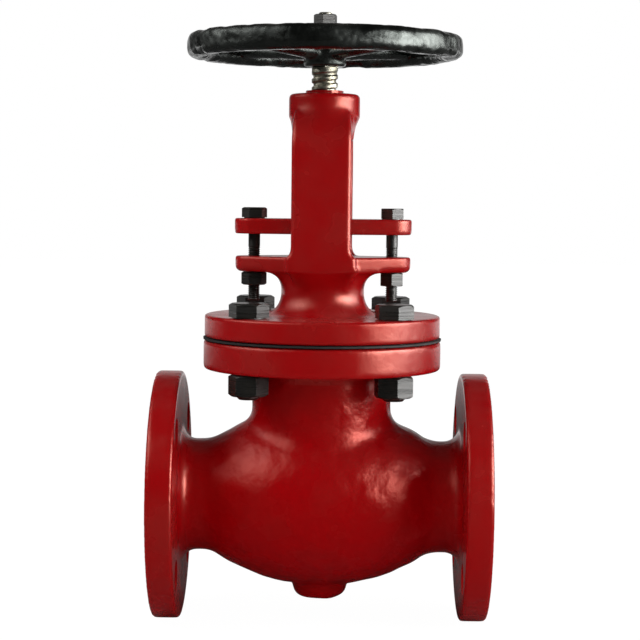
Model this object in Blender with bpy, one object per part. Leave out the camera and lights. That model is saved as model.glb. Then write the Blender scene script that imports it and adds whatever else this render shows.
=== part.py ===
"""Globe valve: flanged body, bolted bonnet with an outside yoke, rising stem and handwheel.

The origin is where the pipe's axis meets the stem's axis. X runs along the pipe, from the
inlet at -X to the outlet at +X, and Z runs up the stem. Lengths are in metres. The valve is
modelled shut, with its disc on the seat.
"""
import math

import bmesh
import bpy
from mathutils import Matrix, Vector

# Fits between pieces
GAP = 0.0003
SLIDING_FIT = 0.0005
CASTING_CLEARANCE = 0.001

# Facets round a full turn
FINE = 36
MEDIUM = 24
SMALL = 16
HOLE = 12
HEXAGON = 12
EYE_STEPS = 7
SPOKE_SIDES = 10

# Pipe ends of the body
FACE_TO_FACE = 0.2032
END_FLANGE_RADIUS = 0.0762
END_FLANGE_THICKNESS = 0.0159
END_FLANGE_FILLET = 0.009
END_HOLE_CIRCLE_RADIUS = 0.0603
END_HOLE_RADIUS = 0.0095
PORT_RADIUS = 0.0255

# Bulb of the body
BULB_RADIUS = 0.0555
BULB_ARC_RADIUS = 0.117
PIPE_NECK_RADIUS = 0.0345
PIPE_NECK_BLEND_RADIUS = 0.020
BODY_WALL = 0.0075
BOTTOM_BOSS_RADIUS = 0.017
BOTTOM_BOSS_FACE_RADIUS = 0.010
BOTTOM_BOSS_REACH = 0.063

# Neck and top flange of the body
NECK_WALL = 0.007
CROTCH_FILLET = 0.010
BODY_TOP_Z = 0.0968
BODY_TOP_FLANGE_THICKNESS = 0.0178
BODY_TOP_FLANGE_RADIUS = 0.0729
BODY_TOP_FLANGE_FILLET = 0.004

# Bridge between the inlet side and the outlet side
BRIDGE_THICKNESS = 0.008
BRIDGE_HALF_LENGTH = 0.044
BRIDGE_RISE = 0.048
BRIDGE_DROP = 0.002
BRIDGE_STEEPNESS = 9
SEAT_PAD_RADIUS = 0.037
SEAT_PAD_TOP_Z = 0.004
SEAT_PAD_THICKNESS = 0.013

# Seat ring and disc
SEAT_BORE_RADIUS = 0.025
SEAT_SHANK_RADIUS = 0.029
SEAT_COLLAR_RADIUS = 0.033
SEAT_COLLAR_HEIGHT = 0.0045
DISC_RADIUS = 0.0295
DISC_RIM_HEIGHT = 0.008
DISC_GUIDE_DEPTH = 0.005
DISC_BOSS_RADIUS = 0.018
DISC_BOSS_HEIGHT = 0.020
DISC_SOCKET_RADIUS = 0.0133
DISC_SOCKET_FLOOR = 0.006
DISC_NUT_AF = 0.030
DISC_NUT_HEAD = 0.006

# Stem and its travel
STEM_RADIUS = 0.008
STEM_BUTTON_RADIUS = 0.011
STEM_BUTTON_HEIGHT = 0.005
STEM_COLLAR_RADIUS = 0.0115
STEM_COLLAR_HEIGHT = 0.004
STEM_CHAMFER = 0.001
STEM_SQUARE_AF = 0.011
WHEEL_STUD_RADIUS = 0.004
LIFT = 0.016

# Gasket and bonnet flange
GASKET_THICKNESS = 0.001
GASKET_OVERHANG = 0.0004
BONNET_FLANGE_SETBACK = 0.0006
BONNET_FLANGE_THICKNESS = 0.0138
BONNET_SPIGOT_LENGTH = 0.006
FLANGE_EDGE_ROUND = 0.0012

# Bonnet neck, stuffing box and lug plate
WAIST_RADIUS = 0.0255
WAIST_Z = 0.128
NECK_BASE_COVE_WIDTH = 0.0115
NECK_TOP_COVE_WIDTH = 0.010
LUG_PLATE_TOP_Z = 0.148
LUG_PLATE_THICKNESS = 0.0095
LUG_PLATE_MIDDLE_RADIUS = 0.0302
LUG_END_RADIUS = 0.0115
LUG_DRAFT = 0.0025
LUG_DRAFT_DEPTH = 0.003
STUFFING_BOX_RADIUS = 0.014
STUFFING_BOX_DEPTH = 0.030
BACK_SEAT_BUSH_RADIUS = 0.014
BACK_SEAT_BUSH_HEIGHT = 0.010

# Packing and gland
PACKING_RING_COUNT = 4
PACKING_RING_HEIGHT = 0.0054
GLAND_BUSH_COLLAR_RADIUS = 0.0165
GLAND_BUSH_COLLAR_HEIGHT = 0.005
GLAND_FLANGE_RISE = 0.0144
GLAND_FLANGE_THICKNESS = 0.0084
GLAND_FLANGE_MIDDLE_RADIUS = 0.0175
GLAND_FLANGE_END_RADIUS = 0.012
GLAND_FLANGE_DRAFT = 0.0006
GLAND_FLANGE_DRAFT_DEPTH = 0.002
GLAND_BOLT_SPACING = 0.0846
GLAND_BOLT_RADIUS = 0.0036
GLAND_BOLT_END = 0.0096
GLAND_HEX_AF = 0.0135
GLAND_HEAD_HEIGHT = 0.0066
GLAND_NUT_HEIGHT = 0.008

# Yoke
YOKE_LEG_OFFSET = 0.024
YOKE_LEG_WIDTH = 0.036
YOKE_LEG_THICKNESS = 0.011
YOKE_LEG_CORNER = 0.0025
YOKE_LEG_FOOT_FLARE = 0.0025
YOKE_LEG_NARROWING = 0.0012
YOKE_HUB_RADIUS = 0.0217
YOKE_HUB_TOP_Z = 0.247
YOKE_HUB_HEIGHT = 0.028
YOKE_HUB_SHOULDER = 0.0025
YOKE_BUSH_RADIUS = 0.0115
YOKE_BUSH_STAND = 0.002
YOKE_BUSH_FLANGE_RADIUS = 0.0155
YOKE_BUSH_FLANGE_HEIGHT = 0.004

# Bonnet bolts
BONNET_BOLT_EDGE_DISTANCE = 0.0119
BONNET_BOLT_NECK_DISTANCE = 0.018
BONNET_BOLT_RADIUS = 0.007
BONNET_BOLT_HOLE_RADIUS = 0.0078
BONNET_HEX_AF = 0.021
BONNET_HEAD_HEIGHT = 0.0088
BONNET_NUT_HEIGHT = 0.0128
BONNET_BOLT_END = 0.002

# Handwheel
WHEEL_RADIUS = 0.084
WHEEL_RIM_WIDTH = 0.014
WHEEL_RIM_HEIGHT = 0.015
WHEEL_RIM_CORNER = 0.005
WHEEL_RIM_BOTTOM_Z = 0.268
WHEEL_HUB_BOTTOM_Z = 0.2635
WHEEL_HUB_TOP_Z = 0.287
WHEEL_HUB_RADIUS = 0.013
WHEEL_SPOKE_COUNT = 4
WHEEL_SPOKE_WIDTH = 0.013
WHEEL_SPOKE_DEPTH = 0.008
WHEEL_WASHER_RADIUS = 0.008
WHEEL_WASHER_THICKNESS = 0.0012
WHEEL_NUT_AF = 0.013
WHEEL_NUT_HEIGHT = 0.0065
WHEEL_STUD_STAND = 0.0012

# Places that follow from the sizes above
BODY_TOP_FLANGE_Z = BODY_TOP_Z - BODY_TOP_FLANGE_THICKNESS
BONNET_FLANGE_RADIUS = BODY_TOP_FLANGE_RADIUS - BONNET_FLANGE_SETBACK
BONNET_BOLT_CIRCLE_RADIUS = BODY_TOP_FLANGE_RADIUS - BONNET_BOLT_EDGE_DISTANCE
NECK_RADIUS = BONNET_BOLT_CIRCLE_RADIUS - BONNET_BOLT_NECK_DISTANCE
NECK_BORE_RADIUS = NECK_RADIUS - NECK_WALL
GASKET_Z = BODY_TOP_Z + GAP
BONNET_Z = GASKET_Z + GASKET_THICKNESS + GAP
BONNET_TOP_Z = BONNET_Z + BONNET_FLANGE_THICKNESS
BACK_SEAT_Z = BONNET_Z - BONNET_SPIGOT_LENGTH
LUG_PLATE_Z = LUG_PLATE_TOP_Z - LUG_PLATE_THICKNESS
STUFFING_BOX_Z = LUG_PLATE_TOP_Z - STUFFING_BOX_DEPTH
GLAND_FLANGE_Z = LUG_PLATE_TOP_Z + GLAND_FLANGE_RISE
GLAND_FLANGE_TOP_Z = GLAND_FLANGE_Z + GLAND_FLANGE_THICKNESS
GLAND_NUT_Z = LUG_PLATE_Z - GAP - GLAND_NUT_HEIGHT
GLAND_BOLT_X = GLAND_BOLT_SPACING / 2
GLAND_BOLT_HOLE_RADIUS = GLAND_BOLT_RADIUS + SLIDING_FIT
YOKE_HUB_Z = YOKE_HUB_TOP_Z - YOKE_HUB_HEIGHT
SEAT_Z = SEAT_PAD_TOP_Z + GAP + SEAT_COLLAR_HEIGHT
DISC_Z = SEAT_Z + GAP
DISC_BOSS_TOP_Z = DISC_Z + DISC_BOSS_HEIGHT
STEM_END_Z = DISC_Z + DISC_SOCKET_FLOOR + GAP
STEM_BUTTON_TOP_Z = STEM_END_Z + STEM_BUTTON_HEIGHT
STEM_COLLAR_TOP_Z = BACK_SEAT_Z - LIFT - GAP
STEM_HOLE_RADIUS = STEM_RADIUS + GAP
WHEEL_WASHER_Z = WHEEL_HUB_TOP_Z + GAP
WHEEL_NUT_Z = WHEEL_WASHER_Z + WHEEL_WASHER_THICKNESS + GAP
STEM_TOP_Z = WHEEL_NUT_Z + WHEEL_NUT_HEIGHT + WHEEL_STUD_STAND

# Finishes: linear colour, metallic, roughness
RED_ENAMEL = ("red_enamel", (0.25, 0.0, 0.002), 0.0, 0.25)
BLACK_ENAMEL = ("black_enamel", (0.006, 0.007, 0.006), 0.0, 0.25)
BLACK_STEEL = ("black_steel", (0.012, 0.009, 0.008), 0.5, 0.45)
STEEL = ("machined_steel", (0.32, 0.31, 0.27), 1.0, 0.35)
BRONZE = ("bronze", (0.45, 0.26, 0.11), 1.0, 0.35)
PACKING = ("graphite_packing", (0.02, 0.02, 0.022), 0.0, 0.7)
GASKET_SHEET = ("gasket_sheet", (0.01, 0.006, 0.006), 0.0, 0.8)


def clear_scene():
    for item in list(bpy.data.objects):
        bpy.data.objects.remove(item, do_unlink=True)


def make_material(finish):
    name, colour, metallic, roughness = finish
    material = bpy.data.materials.get(name)
    if material is None:
        material = bpy.data.materials.new(name)
        material.use_nodes = True
        shader = material.node_tree.nodes["Principled BSDF"]
        shader.inputs["Base Color"].default_value = (*colour, 1.0)
        shader.inputs["Metallic"].default_value = metallic
        shader.inputs["Roughness"].default_value = roughness
    return material


def add_object(name, bm, finish, place=(0.0, 0.0, 0.0), parent=None):
    """Turn a bmesh into a named, smooth-shaded object."""
    bmesh.ops.recalc_face_normals(bm, faces=bm.faces)
    mesh = bpy.data.meshes.new(name)
    bm.to_mesh(mesh)
    bm.free()
    mesh.materials.append(make_material(finish))
    mesh.shade_smooth()
    mesh.set_sharp_from_angle(angle=math.radians(35))
    item = bpy.data.objects.new(name, mesh)
    item.location = place
    item.parent = parent
    bpy.context.scene.collection.objects.link(item)
    return item


def add_copy(name, original, place):
    """A further copy of a repeated piece, sharing the first one's mesh."""
    item = bpy.data.objects.new(name, original.data)
    item.location = place
    item.parent = original.parent
    bpy.context.scene.collection.objects.link(item)
    return item


def add_carrier(name):
    """Empty on the stem's axis that carries the pieces which move together."""
    carrier = bpy.data.objects.new(name, None)
    bpy.context.scene.collection.objects.link(carrier)
    return carrier


def combine(item, operation, name, bm, finish):
    """Add a Boolean modifier that joins, cuts or clips with a hidden shape."""
    tool = add_object(name, bm, finish)
    tool.hide_render = True
    tool.display_type = "WIRE"
    modifier = item.modifiers.new(name, "BOOLEAN")
    modifier.operation = operation
    modifier.solver = "EXACT"
    modifier.object = tool
    return tool


def arc(centre, radius, start, end, steps):
    """Points from angle start to angle end, in degrees, both included."""
    points = []
    for i in range(steps + 1):
        angle = math.radians(start + (end - start) * i / steps)
        across = centre[0] + radius * math.cos(angle)
        up = centre[1] + radius * math.sin(angle)
        points.append((across, up))
    return points


def quarter_ellipse(upright_end, level_end, steps):
    """Curve that leaves its first point upright and reaches its last point level."""
    points = []
    for i in range(steps + 1):
        angle = math.pi / 2 * i / steps
        across = upright_end[0] + (level_end[0] - upright_end[0]) * (1 - math.cos(angle))
        up = upright_end[1] + (level_end[1] - upright_end[1]) * math.sin(angle)
        points.append((across, up))
    return points


def turned_mesh(outline, steps, along_x=False):
    """Solid turned about Z, or about X, from (radius, distance along the axis) points."""
    bm = bmesh.new()
    corners = [bm.verts.new((radius, 0.0, height)) for radius, height in outline]
    edges = [bm.edges.new(pair) for pair in zip(corners, corners[1:])]
    if outline[0][0] > 0:
        edges.append(bm.edges.new((corners[-1], corners[0])))
    bmesh.ops.spin(
        bm, geom=corners + edges, cent=(0, 0, 0), axis=(0, 0, 1), angle=math.tau,
        steps=steps, use_merge=True)
    bmesh.ops.remove_doubles(bm, verts=bm.verts, dist=1e-6)
    if along_x:
        bmesh.ops.rotate(
            bm, verts=bm.verts, cent=(0, 0, 0), matrix=Matrix.Rotation(math.pi / 2, 3, "Y"))
    return bm


def loft_mesh(rings, closed=False):
    """Solid through rings of equal point counts, capped unless it closes on itself."""
    bm = bmesh.new()
    rows = [[bm.verts.new(point) for point in ring] for ring in rings]
    pairs = list(zip(rows, rows[1:]))
    if closed:
        pairs.append((rows[-1], rows[0]))
    else:
        bm.faces.new(rows[0])
        bm.faces.new(rows[-1])
    for low, high in pairs:
        for i in range(len(low)):
            j = (i + 1) % len(low)
            bm.faces.new((low[i], low[j], high[j], high[i]))
    return bm


def prism_mesh(outline, low, high):
    """Solid with an XY outline between two heights."""
    return loft_mesh([[(x, y, z) for x, y in outline] for z in (low, high)])


def cylinder_outline(radius, low, high):
    return [(0.0, low), (radius, low), (radius, high), (0.0, high)]


def ring(height, radius, sides=0, limit=None, count=HEXAGON):
    """Points round Z: a circle, or a polygon whose radius is that of its flats."""
    points = []
    for i in range(count):
        angle = math.tau * i / count
        reach = radius
        if sides:
            side_angle = math.tau / sides
            reach = radius / math.cos(angle % side_angle - side_angle / 2)
        if limit:
            reach = min(reach, limit)
        points.append((reach * math.cos(angle), reach * math.sin(angle), height))
    return points


def turn_mesh(bm, degrees):
    bmesh.ops.rotate(
        bm, verts=bm.verts, cent=(0, 0, 0), matrix=Matrix.Rotation(math.radians(degrees), 3, "Z"))
    return bm


def bolt_mesh(end_z, seat_z, radius, across_flats, head_height, turn):
    """Hexagon bolt with its head above seat_z and its shank down to end_z."""
    flat = across_flats / 2
    chamfer = radius * 0.15
    top = seat_z + head_height
    rings = [
        ring(end_z, radius - chamfer),
        ring(end_z + chamfer, radius),
        ring(seat_z, radius),
        ring(seat_z, flat, sides=6),
        ring(top - chamfer, flat, sides=6),
        ring(top, flat, sides=6, limit=flat),
    ]
    return turn_mesh(loft_mesh(rings), turn)


def nut_mesh(low, height, bore_radius, across_flats, turn):
    """Hexagon nut with both faces chamfered at the corners."""
    flat = across_flats / 2
    chamfer = bore_radius * 0.15
    top = low + height
    rings = [
        ring(low, bore_radius),
        ring(low, flat, sides=6, limit=flat),
        ring(low + chamfer, flat, sides=6),
        ring(top - chamfer, flat, sides=6),
        ring(top, flat, sides=6, limit=flat),
        ring(top, bore_radius),
    ]
    return turn_mesh(loft_mesh(rings, closed=True), turn)


def blend_centre():
    """Centre (x, radius) of the hollow arc between the bulb and a pipe neck."""
    drop = BULB_ARC_RADIUS - BULB_RADIUS
    centre_radius = PIPE_NECK_RADIUS + PIPE_NECK_BLEND_RADIUS
    reach = BULB_ARC_RADIUS + PIPE_NECK_BLEND_RADIUS
    return math.sqrt(reach ** 2 - (drop + centre_radius) ** 2), centre_radius


def bulb_radius(x):
    """Outer radius of the body at a place along the pipe, without its flanges."""
    blend_x, blend_radius = blend_centre()
    distance = abs(x)
    tangent_x = blend_x * BULB_ARC_RADIUS / (BULB_ARC_RADIUS + PIPE_NECK_BLEND_RADIUS)
    if distance <= tangent_x:
        return math.sqrt(BULB_ARC_RADIUS ** 2 - distance ** 2) - (BULB_ARC_RADIUS - BULB_RADIUS)
    if distance < blend_x:
        return blend_radius - math.sqrt(PIPE_NECK_BLEND_RADIUS ** 2 - (blend_x - distance) ** 2)
    return PIPE_NECK_RADIUS


def mirrored_outline(half):
    """Whole outline from its +X half, which starts at the middle of the body."""
    return [(radius, -x) for radius, x in reversed(half[1:])] + half


def body_curve(wall, steps):
    """Bulb and neck from the middle to where the neck runs straight, less a wall."""
    blend_x = blend_centre()[0]
    return [(bulb_radius(blend_x * i / steps) - wall, blend_x * i / steps) for i in range(steps + 1)]


def body_outline():
    face = FACE_TO_FACE / 2
    back = face - END_FLANGE_THICKNESS
    fillet_centre = (PIPE_NECK_RADIUS + END_FLANGE_FILLET, back - END_FLANGE_FILLET)
    edge = FLANGE_EDGE_ROUND
    rim = END_FLANGE_RADIUS - edge
    half = body_curve(0.0, 8)
    half += arc(fillet_centre, END_FLANGE_FILLET, 180, 90, 3)
    half += arc((rim, back + edge), edge, -90, 0, 1)
    half += arc((rim, face - edge), edge, 0, 90, 1)
    half.append((0.0, face))
    return mirrored_outline(half)


def cavity_outline(wall):
    face = FACE_TO_FACE / 2
    half = body_curve(wall, 6)
    half.append((PORT_RADIUS, face - END_FLANGE_THICKNESS))
    half.append((PORT_RADIUS, face + CASTING_CLEARANCE))
    half.append((0.0, face + CASTING_CLEARANCE))
    return mirrored_outline(half)


def crotch_arc(azimuth):
    """Fillet between the upright neck and the bulb, in the upright plane at one azimuth."""
    across = NECK_RADIUS + CROTCH_FILLET
    surface = []
    for i in range(81):
        radius = NECK_RADIUS + (2 * CROTCH_FILLET) * (i / 80 - 0.2)
        along = bulb_radius(radius * math.cos(azimuth))
        side = abs(radius * math.sin(azimuth))
        if along > side:
            surface.append((radius, math.sqrt(along ** 2 - side ** 2)))

    def distance(point, height):
        return math.hypot(point[0] - across, point[1] - height)

    low = max(height for radius, height in surface if radius >= min(across, surface[-1][0]))
    high = low + 4 * CROTCH_FILLET
    for _ in range(30):
        middle = (low + high) / 2
        if min(distance(point, middle) for point in surface) < CROTCH_FILLET:
            low = middle
        else:
            high = middle
    touch = min(surface, key=lambda point: distance(point, high))
    end = math.degrees(math.atan2(touch[1] - high, touch[0] - across)) % 360
    return arc((across, high - GAP), CROTCH_FILLET, 180, end, 4)


def neck_profile(azimuth):
    """Neck and top flange of the body at one azimuth, from the flange's face down."""
    edge = FLANGE_EDGE_ROUND
    rim = BODY_TOP_FLANGE_RADIUS - edge
    under = BODY_TOP_FLANGE_Z
    fillet = BODY_TOP_FLANGE_FILLET
    root = NECK_RADIUS * 0.7
    points = arc((rim, BODY_TOP_Z - edge), edge, 90, 0, 1)
    points += arc((rim, under + edge), edge, 0, -90, 1)
    points += arc((NECK_RADIUS + fillet, under - fillet), fillet, 90, 180, 3)
    points += crotch_arc(azimuth)
    points += [(root, points[-1][1] - 2 * BODY_WALL), (root, PORT_RADIUS / 2)]
    return points


def neck_mesh():
    columns = []
    for i in range(FINE):
        azimuth = math.tau * i / FINE
        columns.append([
            (radius * math.cos(azimuth), radius * math.sin(azimuth), height)
            for radius, height in neck_profile(azimuth)])
    return loft_mesh(list(zip(*columns)))


def bridge_mesh():
    """Band that runs from the inlet's crotch, level under the seat, to the outlet's floor."""
    upper = []
    lower = []
    steps = 24
    for i in range(steps + 1):
        share = math.sin(math.pi / 2 * (2 * i / steps - 1))
        x = BRIDGE_HALF_LENGTH * share
        z = -BRIDGE_DROP - BRIDGE_RISE * share ** BRIDGE_STEEPNESS
        slope = -BRIDGE_RISE / BRIDGE_HALF_LENGTH * BRIDGE_STEEPNESS * share ** (BRIDGE_STEEPNESS - 1)
        normal = Vector((-slope, 1.0)).normalized() * BRIDGE_THICKNESS / 2
        upper.append((x + normal.x, z + normal.y))
        lower.append((x - normal.x, z - normal.y))
    bm = prism_mesh(upper + lower[::-1], -BULB_RADIUS, BULB_RADIUS)
    bmesh.ops.rotate(
        bm, verts=bm.verts, cent=(0, 0, 0), matrix=Matrix.Rotation(math.pi / 2, 3, "X"))
    return bm


def merge_meshes(parts):
    """One bmesh that holds several separate closed shapes."""
    whole = bmesh.new()
    for bm in parts:
        mesh = bpy.data.meshes.new("shape")
        bm.to_mesh(mesh)
        bm.free()
        whole.from_mesh(mesh)
        bpy.data.meshes.remove(mesh)
    return whole


def corner_places(circle_radius):
    """Four places on a circle, halfway between the axes, from front left round to front right."""
    places = []
    for degrees in (225, 135, 45, 315):
        angle = math.radians(degrees)
        places.append((circle_radius * math.cos(angle), circle_radius * math.sin(angle)))
    return places


def hole_mesh(radius, low, high, place, along_x=False):
    """Cylinder for a bolt hole, along Z at (x, y) or along X at (y, z)."""
    bm = turned_mesh(cylinder_outline(radius, low, high), HOLE, along_x)
    offset = (0.0, *place) if along_x else (*place, 0.0)
    bmesh.ops.translate(bm, verts=bm.verts, vec=offset)
    return bm


def end_hole_meshes():
    face = FACE_TO_FACE / 2
    back = face - END_FLANGE_THICKNESS
    clear = CASTING_CLEARANCE
    holes = []
    for place in corner_places(END_HOLE_CIRCLE_RADIUS):
        holes.append(hole_mesh(END_HOLE_RADIUS, back - clear, face + clear, place, along_x=True))
        holes.append(hole_mesh(END_HOLE_RADIUS, -face - clear, clear - back, place, along_x=True))
    return holes


def bonnet_hole_meshes(low, high):
    clear = CASTING_CLEARANCE
    return [
        hole_mesh(BONNET_BOLT_HOLE_RADIUS, low - clear, high + clear, place)
        for place in corner_places(BONNET_BOLT_CIRCLE_RADIUS)]


def build_body():
    boss_outline = [(0.0, -BOTTOM_BOSS_REACH)]
    boss_curve = quarter_ellipse(
        (BOTTOM_BOSS_RADIUS, -BULB_RADIUS), (BOTTOM_BOSS_FACE_RADIUS, -BOTTOM_BOSS_REACH), 4)
    boss_outline += boss_curve[::-1]
    boss_root = BULB_RADIUS - BODY_WALL * 0.8
    boss_outline += [(BOTTOM_BOSS_RADIUS, -boss_root), (0.0, -boss_root)]
    bore_outline = cylinder_outline(NECK_BORE_RADIUS, SEAT_PAD_TOP_Z, BODY_TOP_Z + CASTING_CLEARANCE)
    pad_outline = cylinder_outline(
        SEAT_PAD_RADIUS, SEAT_PAD_TOP_Z - SEAT_PAD_THICKNESS, SEAT_PAD_TOP_Z)
    spot_face_top = SEAT_PAD_TOP_Z + 3 * SEAT_COLLAR_HEIGHT
    seat_hole_outline = [
        (0.0, -SEAT_PAD_THICKNESS),
        (SEAT_SHANK_RADIUS + GAP, -SEAT_PAD_THICKNESS),
        (SEAT_SHANK_RADIUS + GAP, SEAT_PAD_TOP_Z),
        (SEAT_COLLAR_RADIUS + CASTING_CLEARANCE, SEAT_PAD_TOP_Z),
        (SEAT_COLLAR_RADIUS + CASTING_CLEARANCE, spot_face_top),
        (0.0, spot_face_top)]

    body = add_object("body_casting", turned_mesh(body_outline(), FINE, along_x=True), RED_ENAMEL)
    combine(body, "UNION", "body_neck", neck_mesh(), RED_ENAMEL)
    combine(body, "UNION", "bottom_boss", turned_mesh(boss_outline, SMALL), RED_ENAMEL)
    combine(body, "DIFFERENCE", "end_holes", merge_meshes(end_hole_meshes()), RED_ENAMEL)
    combine(body, "DIFFERENCE", "body_bolt_holes",
            merge_meshes(bonnet_hole_meshes(BODY_TOP_FLANGE_Z, BODY_TOP_Z)), RED_ENAMEL)
    combine(body, "DIFFERENCE", "flow_cavity",
            turned_mesh(cavity_outline(BODY_WALL), SMALL, along_x=True), RED_ENAMEL)
    combine(body, "DIFFERENCE", "neck_bore", turned_mesh(bore_outline, MEDIUM), RED_ENAMEL)
    bridge = combine(body, "UNION", "bridge", bridge_mesh(), RED_ENAMEL)
    combine(bridge, "UNION", "seat_pad", turned_mesh(pad_outline, FINE), RED_ENAMEL)
    combine(bridge, "INTERSECT", "bridge_limit",
            turned_mesh(cavity_outline(BODY_WALL / 2), SMALL, along_x=True), RED_ENAMEL)
    combine(body, "DIFFERENCE", "seat_hole", turned_mesh(seat_hole_outline, MEDIUM), RED_ENAMEL)


def build_seat_ring():
    top = SEAT_PAD_TOP_Z + GAP
    bottom = SEAT_PAD_TOP_Z - SEAT_PAD_THICKNESS
    outline = [
        (SEAT_BORE_RADIUS, bottom),
        (SEAT_SHANK_RADIUS, bottom),
        (SEAT_SHANK_RADIUS, top),
        (SEAT_COLLAR_RADIUS, top),
        (SEAT_COLLAR_RADIUS, SEAT_Z),
        (SEAT_BORE_RADIUS, SEAT_Z),
    ]
    add_object("seat_ring", turned_mesh(outline, MEDIUM), BRONZE)


def eye_outline(middle_radius, end_radius, end_offset):
    """Plate round a middle circle and two end circles, joined by straight tangents."""
    tangent = math.degrees(math.acos((middle_radius - end_radius) / end_offset))
    outline = arc((end_offset, 0.0), end_radius, -tangent, tangent, EYE_STEPS)
    outline += arc((0.0, 0.0), middle_radius, tangent, 180 - tangent, EYE_STEPS)
    outline += arc((-end_offset, 0.0), end_radius, 180 - tangent, 180 + tangent, EYE_STEPS)
    outline += arc((0.0, 0.0), middle_radius, 180 + tangent, 360 - tangent, EYE_STEPS)
    return outline


def drafted_plate_mesh(middle_radius, end_radius, low, high, draft, draft_depth):
    """Eye-shaped cast plate whose edge leans in towards its underside."""
    rings = []
    for height, inset in ((low, draft), (low + draft_depth, 0.0), (high, 0.0)):
        outline = eye_outline(middle_radius - inset, end_radius - inset, GLAND_BOLT_X)
        rings.append([(x, y, height) for x, y in outline])
    return loft_mesh(rings)


def rounded_rectangle(width, depth, corner, steps):
    """Corner arcs of a rectangle round the origin."""
    across = width / 2 - corner
    up = depth / 2 - corner
    outline = []
    for quarter, (side, level) in enumerate(((1, 1), (-1, 1), (-1, -1), (1, -1))):
        centre = (side * across, level * up)
        outline += arc(centre, corner, 90 * quarter, 90 * quarter + 90, steps)
    return outline


def yoke_leg_mesh(side):
    """One leg, from inside the lug plate up and over into the hub."""
    straight_top = YOKE_HUB_Z - YOKE_LEG_THICKNESS / 2
    stations = []
    for level in range(4):
        share = level / 3
        flare = YOKE_LEG_FOOT_FLARE * (1 - math.sqrt(1 - (1 - share) ** 2))
        height = LUG_PLATE_TOP_Z + 2 * YOKE_LEG_FOOT_FLARE * share ** 2 - CASTING_CLEARANCE
        stations.append((YOKE_LEG_OFFSET, height, 0.0, flare))
    for step in range(5):
        lean = math.radians(15 * step)
        offset = YOKE_LEG_OFFSET - YOKE_HUB_RADIUS * (1 - math.cos(lean))
        height = straight_top + YOKE_HUB_RADIUS * math.sin(lean)
        narrowing = -YOKE_LEG_NARROWING * (step / 4) ** 2
        stations.append((offset, height, lean, narrowing))
    rings = []
    for offset, height, lean, flare in stations:
        inner_flare = max(flare, 0.0)
        outline = rounded_rectangle(
            YOKE_LEG_WIDTH + 2 * flare, YOKE_LEG_THICKNESS + inner_flare, YOKE_LEG_CORNER, 2)
        middle = offset - inner_flare / 2
        rings.append([
            (x, side * (middle + y * math.cos(lean)), height + y * math.sin(lean))
            for x, y in outline])
    return loft_mesh(rings)


def bonnet_neck_mesh():
    """Neck between flange and lug plate: round at its foot, flush with the legs at its top."""
    middle = (BONNET_TOP_Z + LUG_PLATE_Z) / 2
    front_cove = LUG_PLATE_MIDDLE_RADIUS - WAIST_RADIUS - CASTING_CLEARANCE
    foot = quarter_ellipse((0.0, middle), (NECK_BASE_COVE_WIDTH, BONNET_TOP_Z), 4)[::-1]
    levels = [(foot[0][0], foot[0][0], BONNET_TOP_Z - CASTING_CLEARANCE)]
    levels += [(flare, flare, height) for flare, height in foot]
    for flare, height in quarter_ellipse((0.0, WAIST_Z), (1.0, LUG_PLATE_Z), 4):
        levels.append((flare * NECK_TOP_COVE_WIDTH, flare * front_cove, height))
    levels.append((NECK_TOP_COVE_WIDTH, front_cove, LUG_PLATE_Z + CASTING_CLEARANCE))
    rings = []
    for side_flare, front_flare, height in levels:
        points = []
        for i in range(FINE):
            angle = math.tau * i / FINE
            points.append((
                (WAIST_RADIUS + side_flare) * math.cos(angle),
                (WAIST_RADIUS + front_flare) * math.sin(angle),
                height))
        rings.append(points)
    return loft_mesh(rings)


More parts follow.
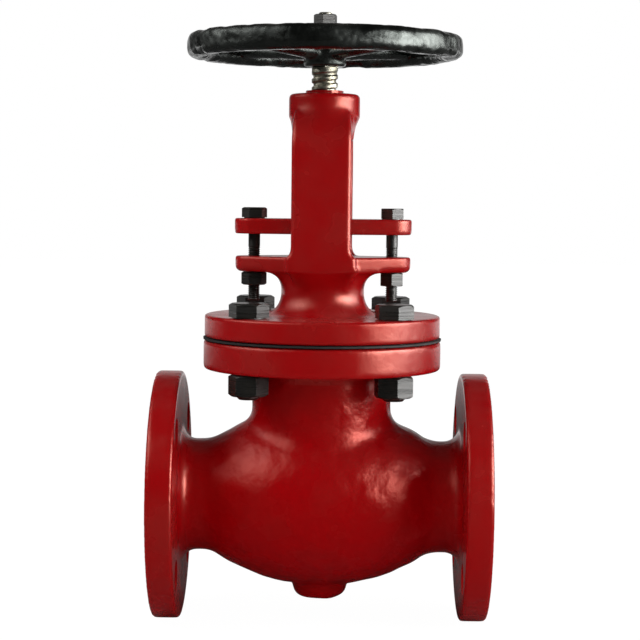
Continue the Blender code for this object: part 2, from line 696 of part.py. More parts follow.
def build_bonnet():
    edge = FLANGE_EDGE_ROUND
    rim = BONNET_FLANGE_RADIUS - edge
    spigot = NECK_BORE_RADIUS - SLIDING_FIT
    outline = [(0.0, BACK_SEAT_Z), (spigot, BACK_SEAT_Z), (spigot, BONNET_Z)]
    outline += arc((rim, BONNET_Z + edge), edge, -90, 0, 1)
    outline += arc((rim, BONNET_TOP_Z - edge), edge, 0, 90, 1)
    outline.append((0.0, BONNET_TOP_Z))
    lug_plate = drafted_plate_mesh(
        LUG_PLATE_MIDDLE_RADIUS, LUG_END_RADIUS, LUG_PLATE_Z, LUG_PLATE_TOP_Z, LUG_DRAFT,
        LUG_DRAFT_DEPTH)
    hub_shoulder = YOKE_HUB_RADIUS - YOKE_HUB_SHOULDER
    hub_outline = [
        (0.0, YOKE_HUB_Z),
        (YOKE_LEG_WIDTH / 2 - YOKE_LEG_CORNER, YOKE_HUB_Z),
        (YOKE_HUB_RADIUS, YOKE_HUB_Z + YOKE_HUB_HEIGHT / 2)]
    hub_outline += arc(
        (hub_shoulder, YOKE_HUB_TOP_Z - YOKE_HUB_SHOULDER), YOKE_HUB_SHOULDER, 0, 90, 3)
    hub_outline.append((0.0, YOKE_HUB_TOP_Z))
    bush_pocket = BACK_SEAT_BUSH_RADIUS + GAP
    pocket_top = BACK_SEAT_Z + BACK_SEAT_BUSH_HEIGHT + GAP
    passage = STEM_RADIUS + CASTING_CLEARANCE
    inside_outline = [
        (0.0, BACK_SEAT_Z - CASTING_CLEARANCE),
        (bush_pocket, BACK_SEAT_Z - CASTING_CLEARANCE),
        (bush_pocket, pocket_top),
        (passage, pocket_top),
        (passage, STUFFING_BOX_Z),
        (STUFFING_BOX_RADIUS, STUFFING_BOX_Z),
        (STUFFING_BOX_RADIUS, LUG_PLATE_TOP_Z + CASTING_CLEARANCE),
        (0.0, LUG_PLATE_TOP_Z + CASTING_CLEARANCE)]
    hub_bore = cylinder_outline(
        YOKE_BUSH_RADIUS + GAP, YOKE_HUB_Z - CASTING_CLEARANCE, YOKE_HUB_TOP_Z + CASTING_CLEARANCE)
    lug_holes = [
        hole_mesh(GLAND_BOLT_HOLE_RADIUS, LUG_PLATE_Z - CASTING_CLEARANCE,
                  LUG_PLATE_TOP_Z + CASTING_CLEARANCE, (side * GLAND_BOLT_X, 0.0))
        for side in (-1, 1)]

    bonnet = add_object("bonnet", turned_mesh(outline, FINE), RED_ENAMEL)
    combine(bonnet, "UNION", "bonnet_neck", bonnet_neck_mesh(), RED_ENAMEL)
    combine(bonnet, "UNION", "lug_plate", lug_plate, RED_ENAMEL)
    combine(bonnet, "UNION", "yoke_leg_front", yoke_leg_mesh(-1), RED_ENAMEL)
    combine(bonnet, "UNION", "yoke_leg_back", yoke_leg_mesh(1), RED_ENAMEL)
    combine(bonnet, "UNION", "yoke_hub", turned_mesh(hub_outline, MEDIUM), RED_ENAMEL)
    combine(bonnet, "DIFFERENCE", "stuffing_box", turned_mesh(inside_outline, SMALL), RED_ENAMEL)
    combine(bonnet, "DIFFERENCE", "yoke_bore", turned_mesh(hub_bore, SMALL), RED_ENAMEL)
    combine(bonnet, "DIFFERENCE", "lug_holes", merge_meshes(lug_holes), RED_ENAMEL)
    combine(bonnet, "DIFFERENCE", "bonnet_bolt_holes",
            merge_meshes(bonnet_hole_meshes(BONNET_Z, BONNET_TOP_Z)), RED_ENAMEL)


def tube_outline(inner, outer, low, high):
    return [(inner, low), (outer, low), (outer, high), (inner, high)]


def build_gasket():
    outline = tube_outline(
        NECK_BORE_RADIUS, BODY_TOP_FLANGE_RADIUS + GASKET_OVERHANG, GASKET_Z,
        GASKET_Z + GASKET_THICKNESS)
    gasket = add_object("bonnet_gasket", turned_mesh(outline, FINE), GASKET_SHEET)
    combine(gasket, "DIFFERENCE", "gasket_holes",
            merge_meshes(bonnet_hole_meshes(GASKET_Z, GASKET_Z + GASKET_THICKNESS)), GASKET_SHEET)


def build_bushes():
    back_seat = tube_outline(
        STEM_HOLE_RADIUS, BACK_SEAT_BUSH_RADIUS, BACK_SEAT_Z, BACK_SEAT_Z + BACK_SEAT_BUSH_HEIGHT)
    add_object("back_seat_bush", turned_mesh(back_seat, SMALL), BRONZE)
    flange_top = YOKE_HUB_Z - GAP
    flange_bottom = flange_top - YOKE_BUSH_FLANGE_HEIGHT
    yoke_bush = [
        (STEM_HOLE_RADIUS, flange_bottom),
        (YOKE_BUSH_FLANGE_RADIUS, flange_bottom),
        (YOKE_BUSH_FLANGE_RADIUS, flange_top),
        (YOKE_BUSH_RADIUS, flange_top),
        (YOKE_BUSH_RADIUS, YOKE_HUB_TOP_Z + YOKE_BUSH_STAND),
        (STEM_HOLE_RADIUS, YOKE_HUB_TOP_Z + YOKE_BUSH_STAND)]
    add_object("yoke_bush", turned_mesh(yoke_bush, SMALL), BRONZE)


def packing_top_z():
    return STUFFING_BOX_Z + PACKING_RING_COUNT * (PACKING_RING_HEIGHT + GAP)


def build_packing():
    outline = tube_outline(
        STEM_HOLE_RADIUS, STUFFING_BOX_RADIUS - GAP, 0.0, PACKING_RING_HEIGHT)
    first = None
    for number in range(PACKING_RING_COUNT):
        height = STUFFING_BOX_Z + GAP + number * (PACKING_RING_HEIGHT + GAP)
        name = f"packing_ring_{number + 1}"
        if first is None:
            first = add_object(name, turned_mesh(outline, SMALL), PACKING, (0.0, 0.0, height))
        else:
            add_copy(name, first, (0.0, 0.0, height))


def build_gland(carrier):
    bush_top = GLAND_FLANGE_Z - GAP
    collar_bottom = bush_top - GLAND_BUSH_COLLAR_HEIGHT
    bush = [
        (STEM_RADIUS + SLIDING_FIT, packing_top_z() + GAP),
        (STUFFING_BOX_RADIUS - GAP, packing_top_z() + GAP),
        (STUFFING_BOX_RADIUS - GAP, collar_bottom),
        (GLAND_BUSH_COLLAR_RADIUS, collar_bottom),
        (GLAND_BUSH_COLLAR_RADIUS, bush_top),
        (STEM_RADIUS + SLIDING_FIT, bush_top)]
    add_object("gland_bush", turned_mesh(bush, SMALL), STEEL, parent=carrier)

    plate = drafted_plate_mesh(
        GLAND_FLANGE_MIDDLE_RADIUS, GLAND_FLANGE_END_RADIUS, GLAND_FLANGE_Z, GLAND_FLANGE_TOP_Z,
        GLAND_FLANGE_DRAFT, GLAND_FLANGE_DRAFT_DEPTH)
    low = GLAND_FLANGE_Z - CASTING_CLEARANCE
    high = GLAND_FLANGE_TOP_Z + CASTING_CLEARANCE
    holes = [hole_mesh(STEM_RADIUS + CASTING_CLEARANCE, low, high, (0.0, 0.0))]
    for side in (-1, 1):
        holes.append(hole_mesh(GLAND_BOLT_HOLE_RADIUS, low, high, (side * GLAND_BOLT_X, 0.0)))
    flange = add_object("gland_flange", plate, RED_ENAMEL, parent=carrier)
    combine(flange, "DIFFERENCE", "gland_holes", merge_meshes(holes), RED_ENAMEL)

    left = (-GLAND_BOLT_X, 0.0, 0.0)
    right = (GLAND_BOLT_X, 0.0, 0.0)
    bolt = bolt_mesh(
        GLAND_NUT_Z - GLAND_BOLT_END, GLAND_FLANGE_TOP_Z + GAP, GLAND_BOLT_RADIUS,
        GLAND_HEX_AF, GLAND_HEAD_HEIGHT, turn=0)
    first_bolt = add_object("gland_bolt_left", bolt, BLACK_STEEL, left, carrier)
    add_copy("gland_bolt_right", first_bolt, right)
    nut = nut_mesh(
        GLAND_NUT_Z, GLAND_NUT_HEIGHT, GLAND_BOLT_RADIUS + GAP, GLAND_HEX_AF, turn=0)
    first_nut = add_object("gland_nut_left", nut, BLACK_STEEL, left)
    add_copy("gland_nut_right", first_nut, right)


def build_bonnet_bolts():
    nut_z = BODY_TOP_FLANGE_Z - GAP - BONNET_NUT_HEIGHT
    turns = (0, 0, 0, 30)
    for number, (x, y) in enumerate(corner_places(BONNET_BOLT_CIRCLE_RADIUS)):
        bolt = bolt_mesh(
            nut_z - BONNET_BOLT_END, BONNET_TOP_Z + GAP, BONNET_BOLT_RADIUS, BONNET_HEX_AF,
            BONNET_HEAD_HEIGHT, turns[number])
        add_object(f"bonnet_bolt_{number + 1}", bolt, BLACK_STEEL, (x, y, 0.0))
        nut = nut_mesh(
            nut_z, BONNET_NUT_HEIGHT, BONNET_BOLT_RADIUS + GAP, BONNET_HEX_AF, turns[number])
        add_object(f"bonnet_nut_{number + 1}", nut, BLACK_STEEL, (x, y, 0.0))


def build_disc(carrier):
    guide = SEAT_BORE_RADIUS - CASTING_CLEARANCE
    outline = [
        (0.0, DISC_Z - DISC_GUIDE_DEPTH),
        (guide - DISC_GUIDE_DEPTH / 2, DISC_Z - DISC_GUIDE_DEPTH),
        (guide, DISC_Z),
        (DISC_RADIUS, DISC_Z),
        (DISC_RADIUS, DISC_Z + DISC_RIM_HEIGHT),
        (DISC_BOSS_RADIUS, DISC_Z + 1.5 * DISC_RIM_HEIGHT),
        (DISC_BOSS_RADIUS, DISC_BOSS_TOP_Z),
        (DISC_SOCKET_RADIUS, DISC_BOSS_TOP_Z),
        (DISC_SOCKET_RADIUS, DISC_Z + DISC_SOCKET_FLOOR),
        (0.0, DISC_Z + DISC_SOCKET_FLOOR)]
    add_object("disc", turned_mesh(outline, MEDIUM), BRONZE, parent=carrier)
    shank = DISC_SOCKET_RADIUS - GAP
    low = STEM_BUTTON_TOP_Z + GAP
    head = DISC_BOSS_TOP_Z + GAP
    top = head + DISC_NUT_HEAD
    flat = DISC_NUT_AF / 2
    rings = [
        ring(low, STEM_HOLE_RADIUS),
        ring(low, shank),
        ring(head, shank),
        ring(head, flat, sides=6),
        ring(top - CASTING_CLEARANCE, flat, sides=6),
        ring(top, flat, sides=6, limit=flat),
        ring(top, STEM_HOLE_RADIUS)]
    add_object("disc_nut", loft_mesh(rings, closed=True), BRONZE, parent=carrier)


def build_stem(carrier):
    square = STEM_SQUARE_AF / 2
    shoulder = WHEEL_HUB_BOTTOM_Z - GAP
    square_top = WHEEL_HUB_TOP_Z - CASTING_CLEARANCE
    rings = [
        ring(STEM_END_Z, STEM_BUTTON_RADIUS - STEM_CHAMFER, count=SMALL),
        ring(STEM_END_Z + STEM_CHAMFER, STEM_BUTTON_RADIUS, count=SMALL),
        ring(STEM_BUTTON_TOP_Z, STEM_BUTTON_RADIUS, count=SMALL),
        ring(STEM_BUTTON_TOP_Z, STEM_RADIUS, count=SMALL),
        ring(STEM_COLLAR_TOP_Z - STEM_COLLAR_HEIGHT, STEM_RADIUS, count=SMALL),
        ring(STEM_COLLAR_TOP_Z - STEM_COLLAR_HEIGHT + STEM_CHAMFER, STEM_COLLAR_RADIUS, count=SMALL),
        ring(STEM_COLLAR_TOP_Z, STEM_COLLAR_RADIUS, count=SMALL),
        ring(STEM_COLLAR_TOP_Z, STEM_RADIUS, count=SMALL),
        ring(shoulder, STEM_RADIUS, count=SMALL),
        ring(shoulder, square, sides=4, count=SMALL),
        ring(square_top, square, sides=4, count=SMALL),
        ring(square_top, WHEEL_STUD_RADIUS, count=SMALL),
        ring(STEM_TOP_Z - STEM_CHAMFER, WHEEL_STUD_RADIUS, count=SMALL),
        ring(STEM_TOP_Z, WHEEL_STUD_RADIUS - STEM_CHAMFER, count=SMALL)]
    add_object("stem", loft_mesh(rings), STEEL, parent=carrier)


def wheel_spoke_mesh(azimuth):
    """Oval spoke from inside the hub to inside the rim, arched a little upward."""
    rim_middle = WHEEL_RADIUS - WHEEL_RIM_WIDTH / 2
    start = WHEEL_HUB_RADIUS * 0.8
    low = WHEEL_HUB_BOTTOM_Z + WHEEL_SPOKE_DEPTH
    high = WHEEL_RIM_BOTTOM_Z + WHEEL_RIM_HEIGHT / 2
    rings = []
    for step in range(6):
        share = step / 5
        reach = start + (rim_middle - start) * share
        height = low + (high - low) * math.sin(math.pi / 2 * share)
        width = WHEEL_SPOKE_WIDTH * (1.15 - 0.3 * math.sin(math.pi * share))
        points = []
        for i in range(SPOKE_SIDES):
            angle = math.tau * i / SPOKE_SIDES
            side = width / 2 * math.cos(angle)
            up = height + WHEEL_SPOKE_DEPTH / 2 * math.sin(angle)
            points.append((
                reach * math.cos(azimuth) - side * math.sin(azimuth),
                reach * math.sin(azimuth) + side * math.cos(azimuth),
                up))
        rings.append(points)
    return loft_mesh(rings)


def build_handwheel(carrier):
    rim_middle = WHEEL_RADIUS - WHEEL_RIM_WIDTH / 2
    rim_height = WHEEL_RIM_BOTTOM_Z + WHEEL_RIM_HEIGHT / 2
    section = rounded_rectangle(WHEEL_RIM_WIDTH, WHEEL_RIM_HEIGHT, WHEEL_RIM_CORNER, 2)
    rim_outline = [(rim_middle + x, rim_height + z) for x, z in section]
    edge = CASTING_CLEARANCE
    hub_outline = [
        (0.0, WHEEL_HUB_BOTTOM_Z),
        (WHEEL_HUB_RADIUS - edge, WHEEL_HUB_BOTTOM_Z),
        (WHEEL_HUB_RADIUS, WHEEL_HUB_BOTTOM_Z + edge),
        (WHEEL_HUB_RADIUS, WHEEL_HUB_TOP_Z - edge),
        (WHEEL_HUB_RADIUS - edge, WHEEL_HUB_TOP_Z),
        (0.0, WHEEL_HUB_TOP_Z)]
    square = STEM_SQUARE_AF / 2 + GAP
    square_hole = loft_mesh([
        ring(WHEEL_HUB_BOTTOM_Z - CASTING_CLEARANCE, square, sides=4, count=SMALL),
        ring(WHEEL_HUB_TOP_Z + CASTING_CLEARANCE, square, sides=4, count=SMALL)])

    wheel = add_object("handwheel", turned_mesh(rim_outline, FINE), BLACK_ENAMEL, parent=carrier)
    for number in range(WHEEL_SPOKE_COUNT):
        azimuth = math.tau * (number + 0.5) / WHEEL_SPOKE_COUNT
        combine(wheel, "UNION", f"spoke_{number + 1}", wheel_spoke_mesh(azimuth), BLACK_ENAMEL)
    combine(wheel, "UNION", "wheel_hub", turned_mesh(hub_outline, SMALL), BLACK_ENAMEL)
    combine(wheel, "DIFFERENCE", "wheel_square", square_hole, BLACK_ENAMEL)

    washer = tube_outline(
        WHEEL_STUD_RADIUS + GAP, WHEEL_WASHER_RADIUS, WHEEL_WASHER_Z,
        WHEEL_WASHER_Z + WHEEL_WASHER_THICKNESS)
    add_object("wheel_washer", turned_mesh(washer, SMALL), STEEL, parent=carrier)
    nut = nut_mesh(WHEEL_NUT_Z, WHEEL_NUT_HEIGHT, WHEEL_STUD_RADIUS + GAP, WHEEL_NUT_AF, turn=0)
    add_object("wheel_nut", nut, BLACK_STEEL, parent=carrier)


def build_valve():
    clear_scene()
    disc_carrier = add_carrier("disc_carrier")
    stem_carrier = add_carrier("stem_carrier")
    gland_carrier = add_carrier("gland_carrier")
    stem_carrier.parent = disc_carrier
    build_body()
    build_seat_ring()
    build_gasket()
    build_bonnet()
    build_bonnet_bolts()
    build_bushes()
    build_packing()
    build_gland(gland_carrier)
    build_disc(disc_carrier)
    build_stem(stem_carrier)
    build_handwheel(stem_carrier)


build_valve()
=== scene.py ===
"""Looks of the globe valve: smooth castings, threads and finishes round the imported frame."""
import math

import bmesh
import bpy
from mathutils import Matrix, Vector, noise


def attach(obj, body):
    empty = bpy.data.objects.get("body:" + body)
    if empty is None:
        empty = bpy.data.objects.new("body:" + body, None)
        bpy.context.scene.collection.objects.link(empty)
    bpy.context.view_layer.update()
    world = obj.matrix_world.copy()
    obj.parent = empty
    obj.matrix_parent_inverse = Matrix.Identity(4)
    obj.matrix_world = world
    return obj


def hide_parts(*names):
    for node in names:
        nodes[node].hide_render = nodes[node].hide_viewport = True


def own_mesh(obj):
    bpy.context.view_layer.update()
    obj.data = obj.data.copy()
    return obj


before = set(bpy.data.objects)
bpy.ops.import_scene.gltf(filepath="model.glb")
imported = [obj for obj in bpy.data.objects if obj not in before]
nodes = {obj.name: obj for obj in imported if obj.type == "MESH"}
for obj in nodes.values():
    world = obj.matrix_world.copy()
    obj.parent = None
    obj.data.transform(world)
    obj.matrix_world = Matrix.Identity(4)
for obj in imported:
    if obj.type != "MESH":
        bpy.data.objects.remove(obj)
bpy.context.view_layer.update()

# Body casting, as the frame has it (metres, origin where pipe axis and stem axis meet)
FACE_TO_FACE = 0.2032
END_FLANGE_RADIUS = 0.0762
END_FLANGE_THICKNESS = 0.0159
END_FLANGE_FILLET = 0.009
END_HOLE_CIRCLE_RADIUS = 0.0603
END_HOLE_RADIUS = 0.0095
PORT_RADIUS = 0.0255
BULB_RADIUS = 0.0555
BULB_ARC_RADIUS = 0.117
PIPE_NECK_RADIUS = 0.0345
PIPE_NECK_BLEND_RADIUS = 0.020
BODY_WALL = 0.0075
BOSS_RADIUS = 0.017
BOSS_FACE_RADIUS = 0.010
BOSS_REACH = 0.063
NECK_RADIUS = 0.043
NECK_BORE_RADIUS = 0.036
NECK_BORE_START = 0.020
NECK_FOOT_SHARE = 0.7
BOSS_ROOT_SHARE = 0.8
END_HOLE_START = 0.070
CROTCH_FILLET = 0.010
CROTCH_FILLET_FRONT = 0.022
BODY_FLANGE_RADIUS = 0.0729
BODY_FLANGE_LOW = 0.079
BODY_FLANGE_HIGH = 0.0968
BODY_FLANGE_FILLET = 0.004
BRIDGE_THICKNESS = 0.008
BRIDGE_HALF_LENGTH = 0.044
BRIDGE_RISE = 0.048
BRIDGE_DROP = 0.002
BRIDGE_STEEPNESS = 9
BRIDGE_STEPS = 32
SEAT_PAD = (0.037, 0.004, 0.013)
SEAT_HOLE_RADIUS = 0.0293
SEAT_RECESS = (0.034, 0.0175)

# Bonnet casting
BONNET_FLANGE_RADIUS = 0.0723
BONNET_FLANGE_HEIGHTS = (0.0984, 0.1122)
SPIGOT_LENGTH = 0.006
SPIGOT_CLEARANCE = 0.0005
BONNET_HOLE_CIRCLE_RADIUS = 0.061
BONNET_HOLE_RADIUS = 0.0078
WAIST_RADIUS = 0.0255
WAIST_HEIGHT = 0.128
NECK_BASE_COVE = 0.0115
NECK_TOP_COVE = 0.010
NECK_FRONT_RUN = 0.003
LUG_PLATE_MIDDLE_RADIUS = 0.0292
LUG_END_RADIUS = 0.0115
LUG_PLATE_HEIGHTS = (0.1385, 0.148)
LUG_PLATE_DRAFT = ((0.0, 0.001, 0.0025), (0.0014, 0.0004, 0.0006), (0.0030, 0.0, 0.0))
YOKE_LEG_OFFSET = 0.024
YOKE_LEG_WIDTH = 0.036
YOKE_LEG_THICKNESS = 0.011
YOKE_LEG_CORNER = 0.0025
YOKE_FOOT_FLARE = 0.0032
YOKE_FOOT_RISE = 0.006
FRONT_LEG_SHIFT = -0.0012
YOKE_LEG_NARROWING = 0.0012
LEAN_MOST = 60
LEAN_STEPS = 12
YOKE_HUB_RADIUS = 0.0217
YOKE_HUB_HEIGHTS = (0.219, 0.247)
YOKE_HUB_SHOULDER = 0.0025
YOKE_BORE_RADIUS = 0.0118
APRON_RUN = 0.021
APRON_FRONT = 0.0286
STUFFING_BOX_OUTLINE = (
    (0.0, 0.0914), (0.0143, 0.0914), (0.0143, 0.1027), (0.009, 0.1027),
    (0.009, 0.118), (0.014, 0.118), (0.014, 0.149), (0.0, 0.149))

# Packing rings: inner radius, outer radius, height; the gland squeezes the set by its take-up
PACKING_RING = (0.009, 0.0137, 0.0054)
PACKING_RING_COUNT = 4
PACKING_BASE = 0.118
PACKING_GAP = 0.0003
PACKING_CORNER = 0.001
BRAID_STRANDS = 24
BRAID_DEPTH = 0.03

# Gland
GLAND_FLANGE_HEIGHTS = (0.1616, 0.1710)
GLAND_BUSH_SEAT = (0.0175, 0.1624)
GLAND_MIDDLE_RADIUS = 0.0175
GLAND_END_RADIUS = 0.012
GLAND_BOLT_X = 0.0423
GLAND_HOLE_RADIUS = 0.0041
GLAND_DRAFT = 0.0005
GLAND_EDGE_HEIGHTS = (0.002, 0.0008)
GLAND_BOSS = (0.004, 0.006, 0.005)
GLAND_BORE_CLEARANCE = 0.001
GLAND_PLACES = ((-GLAND_BOLT_X, 0.0), (GLAND_BOLT_X, 0.0))

# Bolts and nuts: radius, half width over flats, thread pitch, then heights from below
BONNET_BOLT = (0.007, 0.0105, 0.0018)
GLAND_BOLT = (0.0036, 0.00675, 0.00125)
BONNET_NUT_HEIGHTS = (0.0659, 0.0128)
BONNET_BOLT_HEIGHTS = (0.0639, 0.1125, 0.0088)
BONNET_THREAD_TOP = BONNET_NUT_HEIGHTS[0] + BONNET_NUT_HEIGHTS[1]
GLAND_NUT_HEIGHTS = (0.1302, 0.008)
GLAND_BOLT_HEIGHTS = (0.1206, 0.1711, 0.0066)
GLAND_THREAD_TOP = GLAND_NUT_HEIGHTS[0] + 3 * GLAND_NUT_HEIGHTS[1]
BONNET_BOLT_TURNS = (-5, 0, 0, -20)
GLAND_BOLT_TURNS = (8, 30)
THREAD_SLOPE = 3.4
THREAD_ROOT = 1.0
THREAD_ROWS = 12
BOLT_THREAD_SHARE = 0.13
BOLT_POINT_SHARE = 0.2
CHAMFER_SHARE = 0.97
CHAMFER_STEPS = 5
WASHER_FACE_SHARE = 0.95
WASHER_FACE = 0.0004

# Stem
STEM_RADIUS = 0.008
STEM_THREAD_DEPTH = 0.0011
STEM_THREAD_PITCH = 0.005
STEM_THREAD_HEIGHTS = (0.184, 0.2622)
STEM_BUTTON = (0.0154, 0.0204, 0.011)
STEM_COLLAR = (0.0721, 0.0761, 0.0115)
STEM_CHAMFER = 0.001
STEM_SHOULDER_HEIGHT = 0.2632
STEM_SQUARE = 0.0055
STEM_SQUARE_TOP = 0.2860
STUD_RADIUS = 0.004
STUD_HEIGHTS = (0.2862, 0.2961)
STUD_POINT_HEIGHT = 0.2965
STUD_THREAD_DEPTH = 0.0005
STUD_THREAD_PITCH = 0.00125

# Handwheel
WHEEL_RADIUS = 0.084
WHEEL_RIM_WIDTH = 0.014
WHEEL_RIM_MIDDLE = WHEEL_RADIUS - WHEEL_RIM_WIDTH / 2
WHEEL_RIM_HEIGHTS = (0.268, 0.283)
WHEEL_HUB_HEIGHTS = (0.2635, 0.287)
WHEEL_HUB_RADIUS = 0.013
WHEEL_RIM_CORNER = 0.005
WHEEL_SPOKE_SIZE = (0.013, 0.008)
WHEEL_SPOKE_COUNT = 4
WHEEL_SPOKE_START = WHEEL_HUB_RADIUS * 0.8
WHEEL_SPOKE_WAIST = (1.15, 0.3)
WHEEL_WASHER = (0.0043, 0.008, 0.2873, 0.2885)
WHEEL_NUT = (0.2888, 0.0065, 0.0043, 0.0065)
RIM_LUMP_SCALE = 70.0
RIM_LUMP_DEPTH = 0.0014
RIM_LUMP_LEVEL = 0.15
RIM_GRAIN_SCALE = 260.0
RIM_GRAIN_DEPTH = 0.0004
RIM_FADE_SHARE = 0.8
WHEEL_NUT_TURN = 20

# Camera, fitted to the photograph
CAMERA_PLACE = (0.00977, -1.12296, 0.1855)
CAMERA_TURN = 0.57
CAMERA_PITCH = -3.91
CAMERA_ROLL = 0.60
CAMERA_LENS = 102.77
SENSOR_WIDTH = 36.0

# Floor, backdrop and lights: centre, aim, size, and how bright each looks
FLOOR_HEIGHT = -0.0764
FLOOR_HALF_WIDTH = 6.0
BACKDROP_WHITE = 1.0
BACKDROP_IN_GLOSS = 0.6
DARK_SIDE = 0.02
ROOM_LIGHT = 0.60
FLOOR_COLOUR = 0.8
FLOOR_COLOUR_IN_GLOSS = 0.08
FLOOR_FAR = (0.8, 2.5)
FLOOR_GLOW_SHARE = 0.95
FLOOR_GLOW = 1.035
SOFTBOXES = (
    ("right_softbox", (1.05, -0.30, 0.34), (0.0, 0.0, 0.08), (1.10, 0.50), 12.0, 105.0),
    ("left_softbox", (-0.95, -0.30, 0.85), (0.0, 0.0, 0.10), (1.10, 0.55), 10.0, 42.0))

# Making
CASTING_VOXEL = 0.0012
BONNET_VOXEL = 0.0009
GLAND_VOXEL = 0.0006
WHEEL_VOXEL = 0.0009
EDGE = 0.0012
HAIR = 0.0001
WELD = 0.00001
FACE_PRESS = 0.0004
SKIN_LUMP_SCALE = 95.0
SKIN_LUMP_DEPTH = 0.0005
SHARP_ANGLE = 40
FASTENER_SHARP_ANGLE = 25
EDGE_STEPS = 4
RING_STEPS = 48
NECK_RING_STEPS = 144
APRON_RING_STEPS = 96
SPOKE_RING_STEPS = 32
CURVE_STEPS = 16
SECTION_STEPS = 160
HALVINGS = 30
DUST_COLOUR = (0.30, 0.24, 0.20)
WORN_DULLNESS = 0.35
STEEL_GLEAM = 0.6
SOFT_GLEAM = 0.15
BACKDROP_EDGE = (0.80, 0.98)
TURNING_STRETCH = (0.02, 0.02, 1.0)


def mesh_from(name, bm):
    """Mesh of a bmesh, which then goes."""
    bmesh.ops.recalc_face_normals(bm, faces=bm.faces)
    mesh = bpy.data.meshes.new(name)
    bm.to_mesh(mesh)
    bm.free()
    return mesh


def link(name, data):
    """Object in the scene that holds a mesh, a lamp or a camera."""
    item = bpy.data.objects.new(name, data)
    bpy.context.scene.collection.objects.link(item)
    return item


def new_piece(name, bm):
    return link(name, mesh_from(name, bm))


def shade(piece, sharp_angle):
    """Smooth shading, with edges that turn more than an angle in degrees kept sharp."""
    piece.data.shade_smooth()
    piece.data.set_sharp_from_angle(angle=math.radians(sharp_angle))


def eased(share):
    """Share from 0 to 1 that starts and ends gently."""
    return share * share * (3 - 2 * share)


def arc(centre, radius, start, end, steps):
    """Points from angle start to angle end, in degrees, both included."""
    points = []
    for i in range(steps + 1):
        angle = math.radians(start + (end - start) * i / steps)
        points.append((centre[0] + radius * math.cos(angle), centre[1] + radius * math.sin(angle)))
    return points


def quarter_ellipse(upright_end, level_end, steps):
    """Curve that leaves its first point upright and reaches its last point level."""
    points = []
    for i in range(steps + 1):
        angle = math.pi / 2 * i / steps
        across = upright_end[0] + (level_end[0] - upright_end[0]) * (1 - math.cos(angle))
        up = upright_end[1] + (level_end[1] - upright_end[1]) * math.sin(angle)
        points.append((across, up))
    return points


def corner_arc(radius, height, start):
    """Quarter of a rounded edge about (radius, height), from an angle in degrees."""
    return arc((radius, height), EDGE, start, start + 90, EDGE_STEPS)


def level_ring(height, reach, around=RING_STEPS):
    """Level ring of points about Z, with the radius that a function gives for each angle."""
    points = []
    for i in range(around):
        angle = math.tau * i / around
        radius = reach(angle)
        points.append((radius * math.cos(angle), radius * math.sin(angle), height))
    return points


def circle(height, radius):
    return level_ring(height, lambda angle: radius)


def polygon(height, sides, flat, limit=math.inf):
    """Ring with flats, cut back to a circle where a limit is given."""
    side = math.tau / sides
    return level_ring(height, lambda angle: min(limit, flat / math.cos(angle % side - side / 2)))


def turned(outline, steps, along_x=False):
    """Solid turned about Z, or about X, from (radius, distance along the axis) points."""
    bm = bmesh.new()
    corners = [bm.verts.new((radius, 0.0, height)) for radius, height in outline]
    edges = [bm.edges.new(pair) for pair in zip(corners, corners[1:])]
    if outline[0][0] > 0:
        edges.append(bm.edges.new((corners[-1], corners[0])))
    bmesh.ops.spin(
        bm, geom=corners + edges, cent=(0, 0, 0), axis=(0, 0, 1), angle=math.tau,
        steps=steps, use_merge=True)
    bmesh.ops.remove_doubles(bm, verts=bm.verts, dist=1e-6)
    if along_x:
        bmesh.ops.rotate(
            bm, verts=bm.verts, cent=(0, 0, 0), matrix=Matrix.Rotation(math.pi / 2, 3, "Y"))
    return bm


def loft(rings, closed=False):
    """Solid through rings of equal point counts, capped unless it closes on itself."""
    bm = bmesh.new()
    rows = [[bm.verts.new(point) for point in ring] for ring in rings]
    pairs = list(zip(rows, rows[1:]))
    if closed:
        pairs.append((rows[-1], rows[0]))
    else:
        bm.faces.new(rows[0])
        bm.faces.new(rows[-1])
    for low, high in pairs:
        for i in range(len(low)):
            j = (i + 1) % len(low)
            bm.faces.new((low[i], low[j], high[j], high[i]))
    return bm


def prism(outline, low, high):
    return loft([[(x, y, z) for x, y in outline] for z in (low, high)])


def cylinder(radius, low, high, place=(0.0, 0.0), along_x=False, steps=RING_STEPS):
    """Plain cylinder along Z at (x, y), or along X at (y, z), for holes and bores."""
    bm = turned([(0.0, low), (radius, low), (radius, high), (0.0, high)], steps, along_x)
    offset = (0.0, *place) if along_x else (*place, 0.0)
    bmesh.ops.translate(bm, verts=bm.verts, vec=offset)
    return bm


def merged(parts):
    """One bmesh that holds several separate closed shapes."""
    whole = bmesh.new()
    for bm in parts:
        mesh = mesh_from("shape", bm)
        whole.from_mesh(mesh)
        bpy.data.meshes.remove(mesh)
    return whole


def settle(piece):
    """Work out a piece's modifiers and keep the result as its mesh."""
    graph = bpy.context.evaluated_depsgraph_get()
    mesh = bpy.data.meshes.new_from_object(piece.evaluated_get(graph))
    piece.modifiers.clear()
    old = piece.data
    piece.data = mesh
    bpy.data.meshes.remove(old)
    return piece


def boolean(piece, operation, bm):
    """Join, cut or clip a piece with a shape that then goes."""
    tool = new_piece("tool", bm)
    modifier = piece.modifiers.new("boolean", "BOOLEAN")
    modifier.operation = operation
    modifier.solver = "EXACT"
    modifier.object = tool
    settle(piece)
    bpy.data.objects.remove(tool)


def cast_skin(piece, voxel, smoothing):
    """Run the edges and corners of a piece together as a casting's are."""
    remesh = piece.modifiers.new("remesh", "REMESH")
    remesh.mode = "VOXEL"
    remesh.voxel_size = voxel
    smooth = piece.modifiers.new("smooth", "SMOOTH")
    smooth.factor = 0.5
    smooth.iterations = smoothing
    settle(piece)


